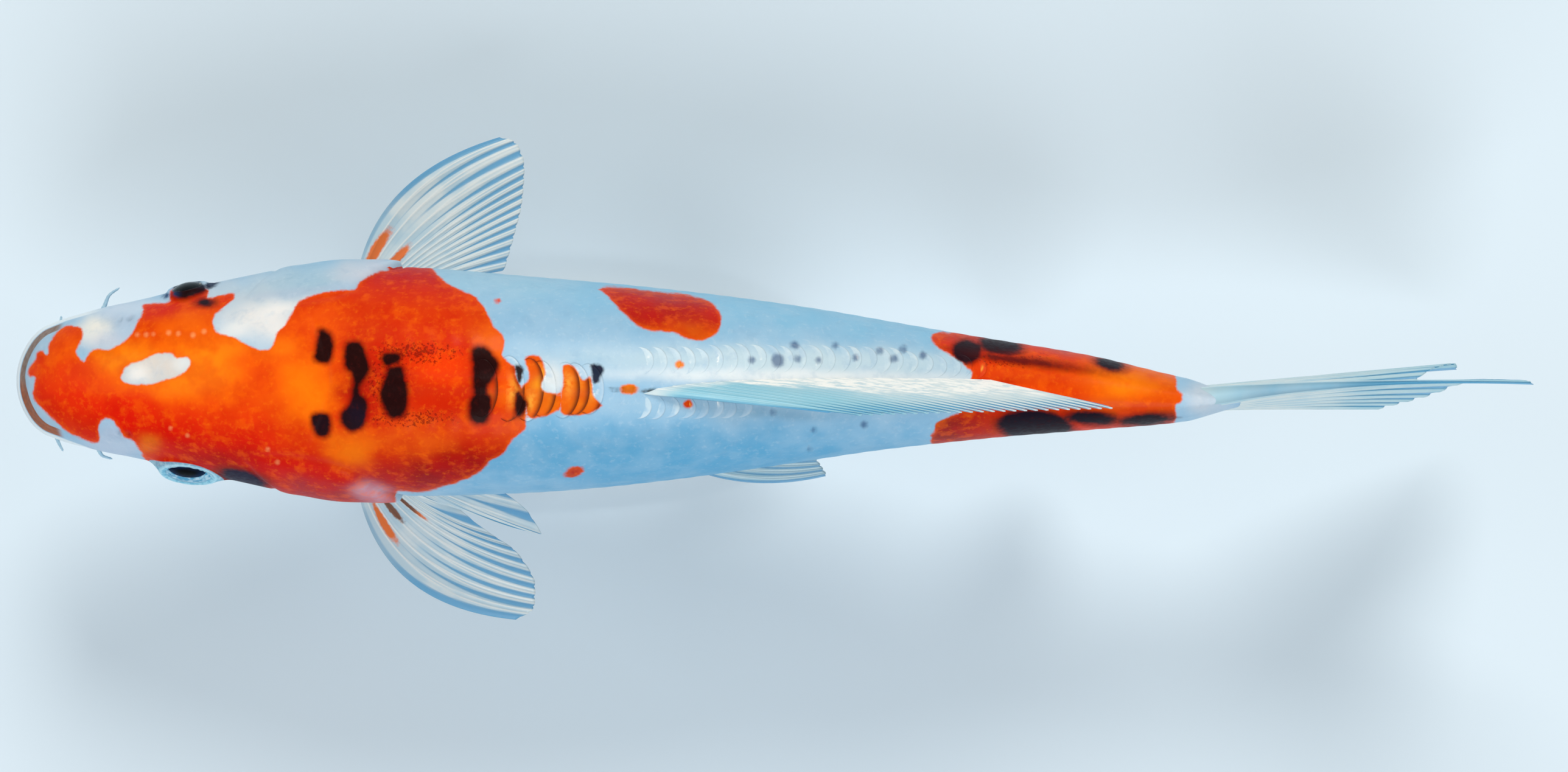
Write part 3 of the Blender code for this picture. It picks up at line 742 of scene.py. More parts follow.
SUMI_FIELDS = (
    ((420, 0), 70, 40, 0, 1.0, (7, 12, 28)),
    ((80, 42), 6, 3, 0, 1.0, (10, 36, 68)),
    # Dark red-brown round the right eye: painted shade of its lids.
    ((70, 38.5), 7, 4, 8, 1.0, (16, 5, 5)),
    ((61, 37), 4, 2.5, 0, 1.0, (24, 74, 120)),
    ((412, 10), 18, 2.5, -8, 1.0, (110, 16, 6)),
    ((260, -3), 26, 2, 0, 1.0, (50, 60, 62)),
    ((93, -39), 14, 8, 0, 1.0, (14, 20, 48)),
    ((239, 4), 6, 7, 0, 1.0, (16, 26, 50)),
    ((77, 34), 6, 4, 0, 1.0, (22, 14, 26)),
    ((140, -13), 6, 6, 0, 0.8, (16, 16, 32)),
    ((125, -17), 5, 6, 0, 0.7, (20, 12, 24)),
    ((392, 13), 12, 6, 0, 0.6, (30, 10, 16)),
)


def depth_in(u, v, outlines=(), spots=()):
    """How far inside the nearest of several markings each point lies."""
    depth = np.full(u.shape, OUTSIDE)
    for outline in outlines:
        curve = smooth_outline(outline)
        low, high = curve.min(0) + OUTSIDE, curve.max(0) - OUTSIDE
        near = (u > low[0]) & (u < high[0]) & (v > low[1]) & (v < high[1])
        depth[near] = np.maximum(depth[near], inside_by(u[near], v[near], curve))
    for spot in spots:
        depth = np.maximum(depth, oval(u, v, *spot))
    return depth


def soft_fields(u, v, start, fields):
    """A start colour with soft fields of other colours laid over it in turn. Their edges wander."""
    wander_u = 1.4 * np.sin(v / 3.3 + u / 9.1) + 0.8 * np.sin(v / 1.7 - u / 3.9)
    wander_v = 1.2 * np.sin(u / 4.7 - v / 7.7) + 0.6 * np.sin(u / 2.1 + v / 3.1)
    colours = np.empty((*u.shape, 3))
    colours[:] = srgb(*start)
    for centre, half_length, half_width, tilt, strength, colour in fields:
        turn = math.radians(tilt)
        loose = min(half_length, half_width) / 8
        du, dv = u - centre[0] + loose * wander_u, v - centre[1] + loose * wander_v
        along = (du * math.cos(turn) + dv * math.sin(turn)) / half_length
        across = (dv * math.cos(turn) - du * math.sin(turn)) / half_width
        share = strength * np.exp(-((along**2 + across**2) ** 1.4) / 1.3)
        colours += share[..., None] * (srgb(*colour) - colours)
    return colours


def markings(p):
    """What the skin's material reads at points of the model: depths in millimetres, and colours."""
    u, v = marking_places(p)
    hi = depth_in(u, v, RED_OUTLINES, RED_SPOTS)
    hi = np.minimum(hi, -depth_in(u, v, (HEAD_SPOT,)))
    ahead_of_slit = p[..., 0] < gill_rear(p[..., 2])[..., 0] + 0.8
    on_cover = ahead_of_slit & (p[..., 0] > 120) & (p[..., 2] > -50)
    hi = np.where(on_cover, np.minimum(hi, COVER_RED_EDGE - v), hi)
    dots, pores = (
        depth_in(u, v, spots=[(centre, radius, radius) for *centre, radius in table])
        for table in (BLUE_DOTS, HEAD_PORES)
    )
    sumi = depth_in(u, v, BLACK_OUTLINES, BLACK_SPOTS)
    speckle = np.zeros(u.shape)
    for centre_u, centre_v, half_length, half_width, strength in SPECK_CLOUDS:
        cloud = strength * bump(u - centre_u, half_length) * bump(v - centre_v, half_width)
        speckle = np.maximum(speckle, cloud)
    return (
        {"hi": hi, "sumi": sumi, "dots": dots, "pores": pores, "speckle": speckle},
        {
            "ground": soft_fields(u, v, BODY_WHITE, GROUND_FIELDS),
            "hi_colour": soft_fields(u, v, HI_RED, HI_FIELDS),
            "sumi_colour": soft_fields(u, v, SUMI_BROWN, SUMI_FIELDS),
        },
    )


def write_colours(piece, **colours):
    """Colours on the mesh's points, which the materials read by name."""
    for name, rgb in colours.items():
        rgb = rgb.reshape(-1, 3)
        rgba = np.column_stack([rgb, np.ones(len(rgb))])
        layer = piece.data.color_attributes.new(name, "FLOAT_COLOR", "POINT")
        layer.data.foreach_set("color", rgba.astype(np.float32).ravel())


def write_markings(piece, p):
    values, colours = markings(p)
    write_values(piece, **values)
    write_colours(piece, **colours)


# ---------------------------------------------------------------- materials


class Paint:
    """A Principled material, and the few kinds of node that its colours are mixed from."""

    def __init__(self, name, **sockets):
        self.material = bpy.data.materials.new(name)
        self.material.use_nodes = True
        self.tree = self.material.node_tree
        self.shader = self.tree.nodes["Principled BSDF"]
        self.places = self.node("TexCoord").outputs["Object"]
        for socket, number in sockets.items():
            self.feed(self.shader.inputs[socket.replace("_", " ")], number)

    def node(self, kind, **settings):
        node = self.tree.nodes.new("ShaderNode" + kind)
        for setting, value in settings.items():
            setattr(node, setting, value)
        return node

    def feed(self, socket, value):
        """Links an output to the socket, or sets the socket to a number or a colour."""
        if isinstance(value, bpy.types.NodeSocket):
            self.tree.links.new(value, socket)
        elif np.ndim(value) and len(socket.default_value) == 4:
            socket.default_value = (*value, 1.0)
        else:
            socket.default_value = value

    def set(self, socket, value):
        self.feed(self.shader.inputs[socket], value)

    def value(self, name):
        return self.node("Attribute", attribute_name=name).outputs["Fac"]

    def colour(self, name):
        return self.node("Attribute", attribute_name=name).outputs["Color"]

    def math(self, operation, a, b=0.0):
        node = self.node("Math", operation=operation)
        for socket, value in zip(node.inputs, (a, b)):
            self.feed(socket, value)
        return node.outputs[0]

    def plus(self, a, b):
        return self.math("ADD", a, b)

    def times(self, a, b):
        return self.math("MULTIPLY", a, b)

    def swing(self, noise, size):
        """A noise as a number on both sides of 0, size apart at most."""
        return self.times(self.math("SUBTRACT", noise, 0.5), size)

    def step(self, value, start, end, low=0.0, high=1.0):
        """low up to start, high from end on, and smooth between."""
        node = self.node("MapRange", interpolation_type="SMOOTHSTEP")
        for socket, number in zip(node.inputs, (value, start, end, low, high)):
            self.feed(socket, number)
        return node.outputs[0]

    def mix(self, share, a, b):
        """Colour a, with a share of colour b laid over it."""
        node = self.node("Mix", data_type="RGBA")
        self.feed(node.inputs["Factor"], share)
        self.feed(node.inputs[6], a)
        self.feed(node.inputs[7], b)
        return node.outputs[2]

    def tinted(self, colour, rgb, value, start, end, most=1.0):
        """The colour, with up to most of a display colour over it as the value runs from start to end."""
        return self.mix(self.step(value, start, end, 0.0, most), colour, srgb(*rgb))

    def stretched(self, x, y, z):
        """Object coordinates scaled along each axis."""
        node = self.node("Mapping")
        self.feed(node.inputs["Vector"], self.places)
        node.inputs["Scale"].default_value = (x, y, z)
        return node.outputs[0]

    def noise(self, scale, detail=2.0, roughness=0.5, at=None):
        node = self.node("TexNoise")
        inputs = {"Vector": at or self.places, "Scale": scale, "Detail": detail, "Roughness": roughness}
        for socket, value in inputs.items():
            self.feed(node.inputs[socket], value)
        return node.outputs["Fac"]

    def relief(self, height, distance, strength):
        node = self.node("Bump")
        self.feed(node.inputs["Height"], height)
        node.inputs["Distance"].default_value = distance
        node.inputs["Strength"].default_value = strength
        self.set("Normal", node.outputs["Normal"])


def marked_colour(paint, on_ground):
    """The pale ground and what on_ground adds to it, then the red, the black and the finer pigment."""
    fine = paint.noise(480, 4, 0.6)
    broad = paint.noise(75, 3, 0.55)
    soft = paint.noise(170, 3, 0.6)
    ragged = paint.plus(paint.swing(soft, 1.9), paint.swing(fine, 1.0))
    ground = paint.tinted(paint.colour("ground"), (178, 204, 220), broad, 0.38, 0.68, 0.22)
    ground = paint.tinted(ground, (118, 160, 190), soft, 0.50, 0.70, 0.16)
    ground = paint.tinted(ground, (220, 230, 234), fine, 0.52, 0.72, 0.14)
    ground = on_ground(ground)
    hi = paint.tinted(paint.colour("hi_colour"), (200, 12, 0), broad, 0.42, 0.66, 0.36)
    hi = paint.tinted(hi, (246, 100, 0), soft, 0.48, 0.68, 0.34)
    hi = paint.tinted(hi, (255, 130, 10), fine, 0.52, 0.72, 0.2)
    edge = paint.plus(paint.value("hi"), ragged)
    hi = paint.mix(paint.step(edge, 0.2, 2.0, 0.32, 0.0), hi, srgb(236, 92, 8))
    colour = paint.mix(paint.step(edge, -0.6, 0.6), ground, hi)
    pore = paint.plus(paint.value("pores"), paint.times(ragged, 0.3))
    colour = paint.tinted(colour, (252, 186, 120), pore, -0.9, 0.7, 0.42)
    specks = paint.plus(paint.noise(820, 4, 0.65), paint.times(paint.value("speckle"), 0.16))
    speck = paint.times(paint.step(specks, 0.60, 0.70), paint.step(paint.value("speckle"), 0.12, 0.5))
    colour = paint.mix(paint.times(speck, 0.7), colour, srgb(112, 10, 2))
    ink = paint.plus(paint.value("sumi"), paint.times(ragged, 1.1))
    halo = paint.times(paint.step(ink, -2.6, 0.2, 0.0, 0.75), paint.step(edge, -0.2, 1.0))
    colour = paint.mix(halo, colour, srgb(104, 8, 0))
    black = paint.tinted(paint.colour("sumi_colour"), (70, 10, 8), fine, 0.5, 0.75, 0.3)
    colour = paint.mix(paint.step(ink, -0.8, 0.8, 0.0, 0.98), colour, black)
    dot = paint.plus(paint.value("dots"), ragged)
    colour = paint.tinted(colour, (40, 72, 118), dot, -1.3, 0.9, 0.7)
    return colour, fine, broad


def skin_material():
    paint = Paint(
        "koi_skin", Specular_IOR_Level=0.04, Coat_Weight=0.03, Coat_Roughness=0.14, Subsurface_Weight=0.03,
        Subsurface_Scale=0.002,
    )
    paint.shader.inputs["Subsurface Radius"].default_value = (1.0, 0.5, 0.4)
    inset, left = paint.value("inset"), paint.value("left")
    far = paint.math("SUBTRACT", inset, paint.times(left, 0.8))
    lips = paint.times(paint.step(inset, 1.2, 1.6), paint.step(far, 3.2, 3.7, 1.0, 0.0))
    lips = paint.times(lips, paint.value("mouth"))
    rim = paint.times(paint.step(inset, 0.9, 1.3, 1.0, 0.0), paint.value("snout"))
    rim = paint.math("MAXIMUM", rim, paint.value("membrane"))
    lid = paint.step(paint.value("lid"), -0.2, 0.3, 0.0, 0.9)

    def on_ground(ground):
        ground = paint.mix(paint.times(rim, 0.85), ground, srgb(226, 234, 236))
        groove = paint.mix(left, srgb(138, 118, 104), srgb(160, 84, 36))
        groove = paint.tinted(groove, (104, 60, 40), paint.noise(500, 3), 0.35, 0.7, 0.5)
        return paint.mix(paint.step(lips, 0.1, 0.9, 0.0, 0.95), ground, groove)

    colour, fine, broad = marked_colour(paint, on_ground)
    lid_colour = paint.mix(paint.step(fine, 0.4, 0.62), srgb(106, 176, 204), srgb(156, 208, 224))
    colour = paint.mix(lid, colour, lid_colour)
    # A painted highlight: a bright pale line on the left eye's lid, just outside its opening.
    lid_highlight = paint.value("lid_highlight")
    lid_highlight = paint.times(paint.step(lid_highlight, 1.0, 1.4), paint.step(lid_highlight, 1.7, 2.3, 0.6, 0.0))
    colour = paint.mix(paint.times(lid_highlight, lid), colour, srgb(190, 232, 244))
    # Painted shade: darkens the mouth slit, the gill slit, the nostril openings and the eye openings.
    colour = paint.mix(paint.times(paint.value("crease_shade"), 0.8), colour, srgb(40, 34, 44))
    paint.set("Base Color", colour)
    paint.set("Roughness", paint.step(fine, 0.3, 0.7, 0.40, 0.54))
    paint.relief(paint.plus(paint.times(fine, 0.5), broad), 0.0006, 0.35)
    return paint.material


def scale_material():
    """Plates in the skin's colours, with pale patches, a faint bright rim and glints, both painted
    highlights, and bronze on the red.
    """
    paint = Paint("koi_scale", Specular_IOR_Level=0.08, Coat_Weight=0.06, Coat_Roughness=0.14)
    rim, painted_glint = paint.value("rim"), paint.value("painted_glint")
    blotch, streak = paint.noise(130, 3, 0.6), paint.noise(420, 3, 0.6)

    def on_ground(ground):
        ground = paint.tinted(ground, (206, 222, 226), blotch, 0.50, 0.64, 0.5)
        ground = paint.mix(paint.step(blotch, 0.36, 0.46, 0.3, 0.0), ground, srgb(140, 176, 204))
        # The rim is a painted highlight: a pale line along each plate's free edge.
        ground = paint.mix(paint.times(rim, 0.5), ground, srgb(226, 236, 238))
        # Painted glints: small white highlights near each plate's free end.
        bright = paint.times(painted_glint, paint.step(streak, 0.46, 0.60))
        return paint.mix(paint.times(bright, 0.95), ground, srgb(250, 250, 244))

    colour, fine, _ = marked_colour(paint, on_ground)
    on_red = paint.step(paint.value("hi"), -0.3, 1.0)
    on_red = paint.times(on_red, paint.step(paint.value("sumi"), -1.5, 0.0, 1.0, 0.0))
    bronze = paint.times(paint.step(paint.value("bronze"), 0.2, 0.9, 0.0, 0.85), on_red)
    colour = paint.mix(bronze, colour, srgb(88, 30, 8))
    # A golden painted glint on the red plates.
    golden_glint = paint.times(paint.times(painted_glint, on_red), paint.step(streak, 0.3, 0.6, 0.2, 0.8))
    colour = paint.mix(golden_glint, colour, srgb(250, 176, 60))
    paint.set("Base Color", colour)
    paint.set("Roughness", paint.step(fine, 0.3, 0.7, 0.32, 0.48))
    rings = paint.math("SINE", paint.times(paint.value("free"), 50.0))
    paint.relief(paint.plus(paint.times(rings, 0.05), fine), 0.0002, 0.35)
    return paint.material


RAY_JOINT = 1.5  # from one joint of a fin ray to the next


def fin_material():
    """White forking rays, and a bluish web that is clear towards the margin."""
    paint = Paint("koi_fin", Specular_IOR_Level=0.25, Coat_Weight=0.12, Coat_Roughness=0.2)
    ray, run, clear = paint.value("ray"), paint.value("run"), paint.value("clear")
    fine, broad = paint.noise(620, 3), paint.noise(60, 3)
    joints = paint.math("SINE", paint.times(paint.value("along"), 2 * math.pi / RAY_JOINT))
    joint = paint.times(paint.step(joints, 0.2, 0.95, 0.0, 0.1), paint.step(run, 0.2, 0.45))
    flesh = paint.mix(paint.step(broad, 0.4, 0.65), srgb(184, 206, 214), srgb(208, 218, 218))
    bone = paint.mix(joint, srgb(222, 226, 222), srgb(176, 198, 208))
    colour = paint.mix(paint.step(ray, 0.1, 0.8), flesh, bone)
    colour = paint.mix(paint.times(paint.value("turquoise"), 0.8), colour, srgb(112, 186, 206))
    colour = paint.mix(clear, colour, srgb(74, 162, 206))
    streaks = paint.noise(900, 3, 0.6, at=paint.stretched(0.1, 1, 1))
    white = paint.times(paint.value("white"), paint.step(streaks, 0.40, 0.56, 0.25, 1.0))
    colour = paint.mix(white, colour, srgb(240, 240, 234))
    tint = paint.plus(paint.value("orange"), paint.swing(fine, 0.5))
    streak = paint.mix(paint.value("brown"), srgb(232, 108, 14), srgb(120, 66, 34))
    colour = paint.mix(paint.step(tint, 0.3, 0.7, 0.0, 0.95), colour, streak)
    paint.set("Base Color", colour)
    paint.set("Roughness", paint.step(fine, 0.3, 0.7, 0.40, 0.56))
    paint.set("Alpha", paint.step(clear, 0.0, 1.0, 1.0, 0.6))
    paint.relief(paint.plus(fine, paint.times(joints, 0.06)), 0.00015, 0.3)
    return paint.material


PUPIL_EDGE = 35  # degrees from the line of sight


def eye_material():
    """A black pupil in an iris that is dark above and gold below, or pale blue all over, and a dark white."""
    paint = Paint("koi_eye", Roughness=0.3, Specular_IOR_Level=0.08, Coat_Weight=0.12, Coat_Roughness=0.04)
    out, up = paint.value("from_axis"), paint.value("upness")
    fine = paint.noise(900, 4, 0.65)
    pale = paint.value("pale")
    metal = paint.mix(paint.step(fine, 0.35, 0.65), srgb(170, 140, 84), srgb(206, 204, 190))
    blue = paint.mix(paint.step(paint.noise(330, 3), 0.42, 0.6), srgb(70, 152, 188), srgb(188, 214, 226))
    metal = paint.mix(pale, metal, blue)
    dark = paint.math("SUBTRACT", 1.0, pale)
    iris = paint.mix(paint.times(paint.step(up, -0.55, 0.0), dark), metal, srgb(6, 8, 14))
    white = paint.mix(paint.step(fine, 0.4, 0.7), srgb(34, 50, 74), srgb(14, 22, 38))
    colour = paint.mix(paint.times(paint.step(out, 56, 66), dark), iris, white)
    ring = paint.step(out, PUPIL_EDGE, PUPIL_EDGE + 2)
    ring = paint.times(ring, paint.step(out, PUPIL_EDGE + 3, PUPIL_EDGE + 5, 1.0, 0.0))
    ring = paint.times(ring, paint.step(up, -0.1, 0.3, 0.8, 0.0))
    ring = paint.times(ring, dark)
    colour = paint.mix(ring, colour, srgb(200, 150, 80))
    pupil = paint.mix(paint.times(pale, paint.step(out, 12, 36)), srgb(1, 1, 3), srgb(2, 30, 66))
    colour = paint.mix(paint.step(out, PUPIL_EDGE - 1, PUPIL_EDGE + 1.5, 1.0, 0.0), colour, pupil)
    paint.set("Base Color", colour)
    paint.relief(fine, 0.0002, 0.2)
    return paint.material


def cornea_material():
    paint = Paint("koi_cornea", Roughness=0.02, Transmission_Weight=1.0, IOR=1.02)
    paint.set("Base Color", (0.93, 0.98, 1.0))
    return paint.material


def base_material():
    paint = Paint("stand_paint", Metallic=0.0, Coat_Weight=0.15)
    broad, fine = paint.noise(14, 3), paint.noise(900, 2)
    colour = paint.mix(broad, srgb(196, 200, 203), srgb(210, 213, 214))
    paint.set("Base Color", colour)
    paint.set("Roughness", paint.step(fine, 0.3, 0.7, 0.40, 0.52))
    paint.relief(fine, 0.00008, 0.4)
    return paint.material


def rod_material():
    paint = Paint("stand_steel", Metallic=1.0)
    brushed = paint.noise(300, 3, at=paint.stretched(14, 14, 0.4))
    paint.set("Base Color", paint.mix(brushed, srgb(176, 178, 180), srgb(214, 215, 216)))
    paint.set("Roughness", paint.step(brushed, 0.3, 0.7, 0.22, 0.4))
    paint.relief(brushed, 0.00005, 0.4)
    return paint.material


def floor_material():
    paint = Paint("studio_floor", Roughness=0.85)
    paint.set("Base Color", paint.mix(paint.noise(3, 3), srgb(205, 219, 227), srgb(211, 224, 231)))
    return paint.material


# ---------------------------------------------------------------- skin


def skin_marks(p):
    """Marks that follow the head's relief: shares from 0 to 1, and depths and distances in millimetres."""
    station, level = p[..., 0], p[..., 2]
    inset = np.clip(inset_from_outline(p), OFF_HEAD, 12)
    # fold gathers painted shade for the mouth slit, the gill slit, the nostril openings and the eye openings.
    slit = 0.8 * bump(level - mouth_line(station)[..., 0], 0.9) * (1 - ease(station, 28, 36))
    rear = gill_rear(level)[..., 0]
    belt = window(level, -60, -46, 30, 40) * (1 - 0.7 * gill_softness(level))
    membrane = 0.32 * bump(station - rear + 0.8, 1.6) * belt
    fold = np.maximum(slit, 0.45 * bump(station - rear - 2.0, 1.2) * belt)
    for along, aside in nostril_offsets(PLAIN):
        fold = np.maximum(fold, 0.3 * bump(np.hypot(along - FRONT_OPENING, aside), 1.0))
        fold = np.maximum(fold, 0.35 * bump(np.hypot(along - REAR_OPENING, aside * 0.8), 1.2))
    lid = np.clip(depth_in(*marking_places(p), (LEFT_LID,)), -4, 4)
    # The distance past the left eye's opening, which places the painted highlight on its lid.
    lid_highlight = np.full(station.shape, 9.0)
    for sign, eye in EYES.items():
        along, up, out = eye_places(p, sign)
        past = np.hypot(along, up) - eye.opening
        fold = np.maximum(fold, 0.8 * (1 - ease(past, -2.2, -0.6)) * (out > 0))
        lid_highlight = np.where((out > 0) & (sign < 0), np.clip(past, -9, 9), lid_highlight)
    left = 1 - ease(p[..., 1], -5, 5)
    return {
        "inset": inset,
        "mouth": 1 - ease(station, 15, 22),
        "snout": 1 - ease(station, 26, 40),
        "left": left,
        "crease_shade": fold,
        "membrane": membrane,
        "lid": lid,
        "lid_highlight": lid_highlight,
    }


def build_skin():
    """One skin for all the flesh, from the snout to the root of the tail fin, closed at both ends."""
    rows, columns = SKIN.shape[:2]
    faces = grid_faces(rows, columns, closed=True)
    points = np.vstack([SKIN.reshape(-1, 3), SKIN[0].mean(0)[None], SKIN[-1].mean(0)[None]])
    front, back = rows * columns, rows * columns + 1
    ring = np.arange(columns)
    after = (ring + 1) % columns
    last = (rows - 1) * columns
    nose = [(front, j, k) for j, k in zip(ring.tolist(), after.tolist())]
    tail = [(back, last + k, last + j) for j, k in zip(ring.tolist(), after.tolist())]
    skin = make_mesh("skin", points, faces.tolist() + nose + tail, skin_material())
    write_markings(skin, points[:, None])
    marks = skin_marks(SKIN)
    write_values(skin, **{name: [*values.ravel(), 0, 0] for name, values in marks.items()})
    write_map(skin, skin_map())
    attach(skin, "root")
    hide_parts("head", "lip_upper", "jaw_lower", "gill_cover_right", "gill_cover_left")
    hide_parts("trunk_front", "trunk_rear", "tail_stem")
    return skin


END_MARGIN, SIDE_MARGIN = 0.012, 0.01  # round the body's unwrap in the unit square of the bake's map
FAN_TIP = 0.002  # the middle of the fan at each end, from the edge of the square


def unwrapped(stations, turns):
    """Places on the unwrap of the body: along it, and round it from the belly."""
    along = END_MARGIN + (1 - 2 * END_MARGIN) * (stations - SNOUT_TIP) / (BODY_END - SNOUT_TIP)
    return along, SIDE_MARGIN + (1 - 2 * SIDE_MARGIN) * (turns + 0.5)


def skin_map():
    """The bake's map, split along the belly."""
    along, edges = unwrapped(PLAIN[..., 0], np.arange(AROUND + 1) / AROUND - 0.5)
    i, j = np.meshgrid(np.arange(len(along) - 1), np.arange(AROUND), indexing="ij")
    k = (j + 1) % AROUND
    near, far = edges[j], edges[j + 1]
    sides = [along[i, j], near, along[i + 1, j], near, along[i + 1, k], far, along[i, k], far]
    j, k = np.arange(AROUND), (np.arange(AROUND) + 1) % AROUND
    near, far = edges[j], edges[j + 1]
    middle = (near + far) / 2
    nose = [0 * middle + FAN_TIP, middle, along[0, j], near, along[0, k], far]
    tail = [0 * middle + 1 - FAN_TIP, middle, along[-1, k], far, along[-1, j], near]
    return np.vstack([np.stack(corners, -1).reshape(-1, 2) for corners in (sides, nose, tail)])


def on_skin(stations, asides):
    """Points, normals and turns of the back's skin, at stations and distances aside from the spine."""
    half = section_at(stations)[:, 0]
    share = np.clip(asides / half, -0.999, 0.999)
    turn = np.arcsin(np.abs(share) ** (ROUNDNESS / 2)) / (2 * math.pi) * np.sign(share)
    row = np.interp(stations, STATIONS, np.arange(len(STATIONS)))
    column = np.interp(turn, TURNS, np.arange(len(TURNS)))
    i = np.minimum(row.astype(int), len(STATIONS) - 2)
    j = np.minimum(column.astype(int), len(TURNS) - 2)
    a, b = (row - i)[:, None], (column - j)[:, None]

    def between(grid):
        near = grid[i, j] * (1 - b) + grid[i, j + 1] * b
        far = grid[i + 1, j] * (1 - b) + grid[i + 1, j + 1] * b
        return near * (1 - a) + far * a

    return between(SKIN), unit(between(SKIN_NORMAL)), turn


# ---------------------------------------------------------------- scales

SCALE_ROWS, SCALE_COLUMNS = 21, 25
SCALE_THICKNESS = 0.15  # from the skin side of a plate to its edge
ROOT_DEPTH = 0.32  # a plate's root lies this deep under the skin
ROW_START, ROW_COUNT, SCALE_PITCH = 253, 25, 5.6  # of the scales along the right side of the fin
LEFT_ROW_END = 296  # the shorter row on its left side
MAP_PATCH = 0.0028  # the size of each side of a plate in the bake's map
MAP_STEP = 0.0031  # from one side of a plate to the other in that map
# The broad scales across the back in front of the fin: station of each free end, and width.
FRONT_SCALES = (
    (201.5, 22), (211.7, 25), (219.8, 25), (225.2, 22), (233.9, 22), (238.4, 21), (243.6, 19),
)


def scale_plates():
    """Station of the root, distance aside, length, width, slant and bronze of each scale."""
    plates = [(tip - 12.0, -1.6, 12.0, width, 0, 1.0) for tip, width in FRONT_SCALES]
    for index in range(ROW_COUNT):
        station = ROW_START + SCALE_PITCH * index
        right = 8.4 + 0.9 * ease(station, 250, 300) - 2.0 * ease(station, 340, 385)
        left = -7.6 + 1.2 * ease(station, 330, 390)
        width = 11.4 - 2.4 * ease(station, 300, 390)
        bronze = 0.35 * ease(station, 360, 380)
        plates.append((station, right, 10.0, width, 10, bronze))
        if station < LEFT_ROW_END:
            plates.append((station, left, 10.0, width - 2.0, -12, 0.0))
    return plates


def scale_shape():
    """Along and across each scale, to 1 at its end and at each side: a broad fan with a round free end."""
    along, across = np.meshgrid(
        np.linspace(0, 1, SCALE_ROWS), np.linspace(-1, 1, SCALE_COLUMNS), indexing="ij"
    )
    angle = across * math.pi / 2
    half = np.clip(1 - 0.35 * (1 - along) ** 2, 0, 1)
    tip = 1 - (1 - np.cos(angle)) * 0.55
    return along * tip, np.sin(angle) * half


def scale_marks(rng, free, side, outer, bronze):
    """What the material reads on one scale: how near its free end, its rim, its bronze and its glint; the rim
    and the glint are painted highlights.
    """
    rim = np.maximum(0.7 * free**6, side**10 * ease(free, 0.2, 0.6)) * ease(outer, -0.6, 0.5)
    # The glint is a painted highlight, on most plates.
    spot = bump(free - 0.8 - 0.25 * outer, 0.05)
    spot = spot * bump(outer + rng.uniform(0.0, 0.7), rng.uniform(0.14, 0.24))
    spot = spot * (rng.uniform() < 0.7)
    if bronze == 1:
        rim = 0.6 * free**6
        spot = 0.8 * bump(free - 0.62, 0.16) * bump(side - rng.uniform(-0.5, 0.5), 0.3)
    edge = np.maximum(free**5, 0.9 * side**6 * ease(free, 0.2, 0.7))
    return {"free": free, "rim": rim, "bronze": bronze * edge, "painted_glint": spot}


def build_scales():
    """The mirror scales of the back: a few right across it, then a row along each side of the fin."""
    rng = np.random.default_rng(7)
    points, faces, places, marks = [], [], [], []
    along, across = scale_shape()
    free = np.repeat(np.linspace(0, 1, SCALE_ROWS)[:, None], SCALE_COLUMNS, 1)
    side = np.repeat(np.linspace(-1, 1, SCALE_COLUMNS)[None], SCALE_ROWS, 0)
    closed = two_sided_faces(SCALE_ROWS, SCALE_COLUMNS)
    for station, aside, length, width, slant, bronze in scale_plates():
        length *= rng.uniform(0.94, 1.06)
        width *= rng.uniform(0.92, 1.06)
        slant = math.radians(slant + rng.normal(0, 3.0))
        along_mm, across_mm = along * length, across * width / 2
        where = station + along_mm * math.cos(slant) - across_mm * math.sin(slant)
        out = aside + along_mm * math.sin(slant) + across_mm * math.cos(slant)
        foot, normal, turn = on_skin(where.ravel(), out.ravel())
        rise = 0.6 if bronze == 1 else 0.3
        lift = (-ROOT_DEPTH + rise * free**1.3 + 0.05 * (1 - side**2)).ravel()[:, None]
        thin = (0.03 + 0.05 * (1 - side**2)).ravel()[:, None]
        faces.append(closed + free.size * len(points))
        points += [foot + normal * (lift + thin), foot + normal * (lift - SCALE_THICKNESS)]
        patch = np.column_stack([free.ravel(), side.ravel() / 2 + 0.5]) * MAP_PATCH
        patch = patch + (unwrapped(station, 0)[0], unwrapped(0, turn[0])[1])
        both = np.vstack([patch, patch + (MAP_STEP, 0)])
        places.append(both[closed.ravel()])
        marks += [scale_marks(rng, free, side, side * np.sign(aside), bronze)] * 2
    points = np.vstack(points)
    scales = make_mesh("scales", points, np.vstack(faces).tolist(), scale_material())
    write_markings(scales, points[:, None])
    write_values(scales, **{name: [values[name] for values in marks] for name in marks[0]})
    write_map(scales, np.vstack(places))
    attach(scales, "root")


def border_of(rows, columns):
    """Indices round the edge of a grid of points, in order."""
    top = np.arange(columns)
    right = np.arange(1, rows) * columns + columns - 1
    bottom = (rows - 1) * columns + np.arange(columns - 2, -1, -1)
    left = np.arange(rows - 2, 0, -1) * columns
    return np.concatenate([top, right, bottom, left])


def two_sided_faces(rows, columns):
    """Faces of a grid of points with a second grid behind it, and a strip that joins their edges."""
    sheet, border = grid_faces(rows, columns), border_of(rows, columns)
    after, count = np.roll(border, -1), rows * columns
    strip = np.stack([border, after, after + count, border + count], 1)
    return np.vstack([sheet, sheet[:, ::-1] + count, strip])


# ---------------------------------------------------------------- fins

COLUMNS_PER_RAY = 14
EDGE_LEAD = 0.8  # a fin's leading edge lies this far ahead of its first ray, in ray pitches
MAP_MARGIN = 0.02  # round each side of a fin in the bake's map
MAP_EDGE = 0.006  # the width of a fin's edge in that map


def fan(roots, tips, bows, share, run):
    """A fin's middle surface, from rows of share of its base, then where each ray starts, ends and bows."""
    foot, tip, bow = (curve_through(rows)(share)[:, None] for rows in (roots, tips, bows))
    run = run[..., None]
    return foot * (1 - run) + tip * run + bow * 4 * run * (1 - run)


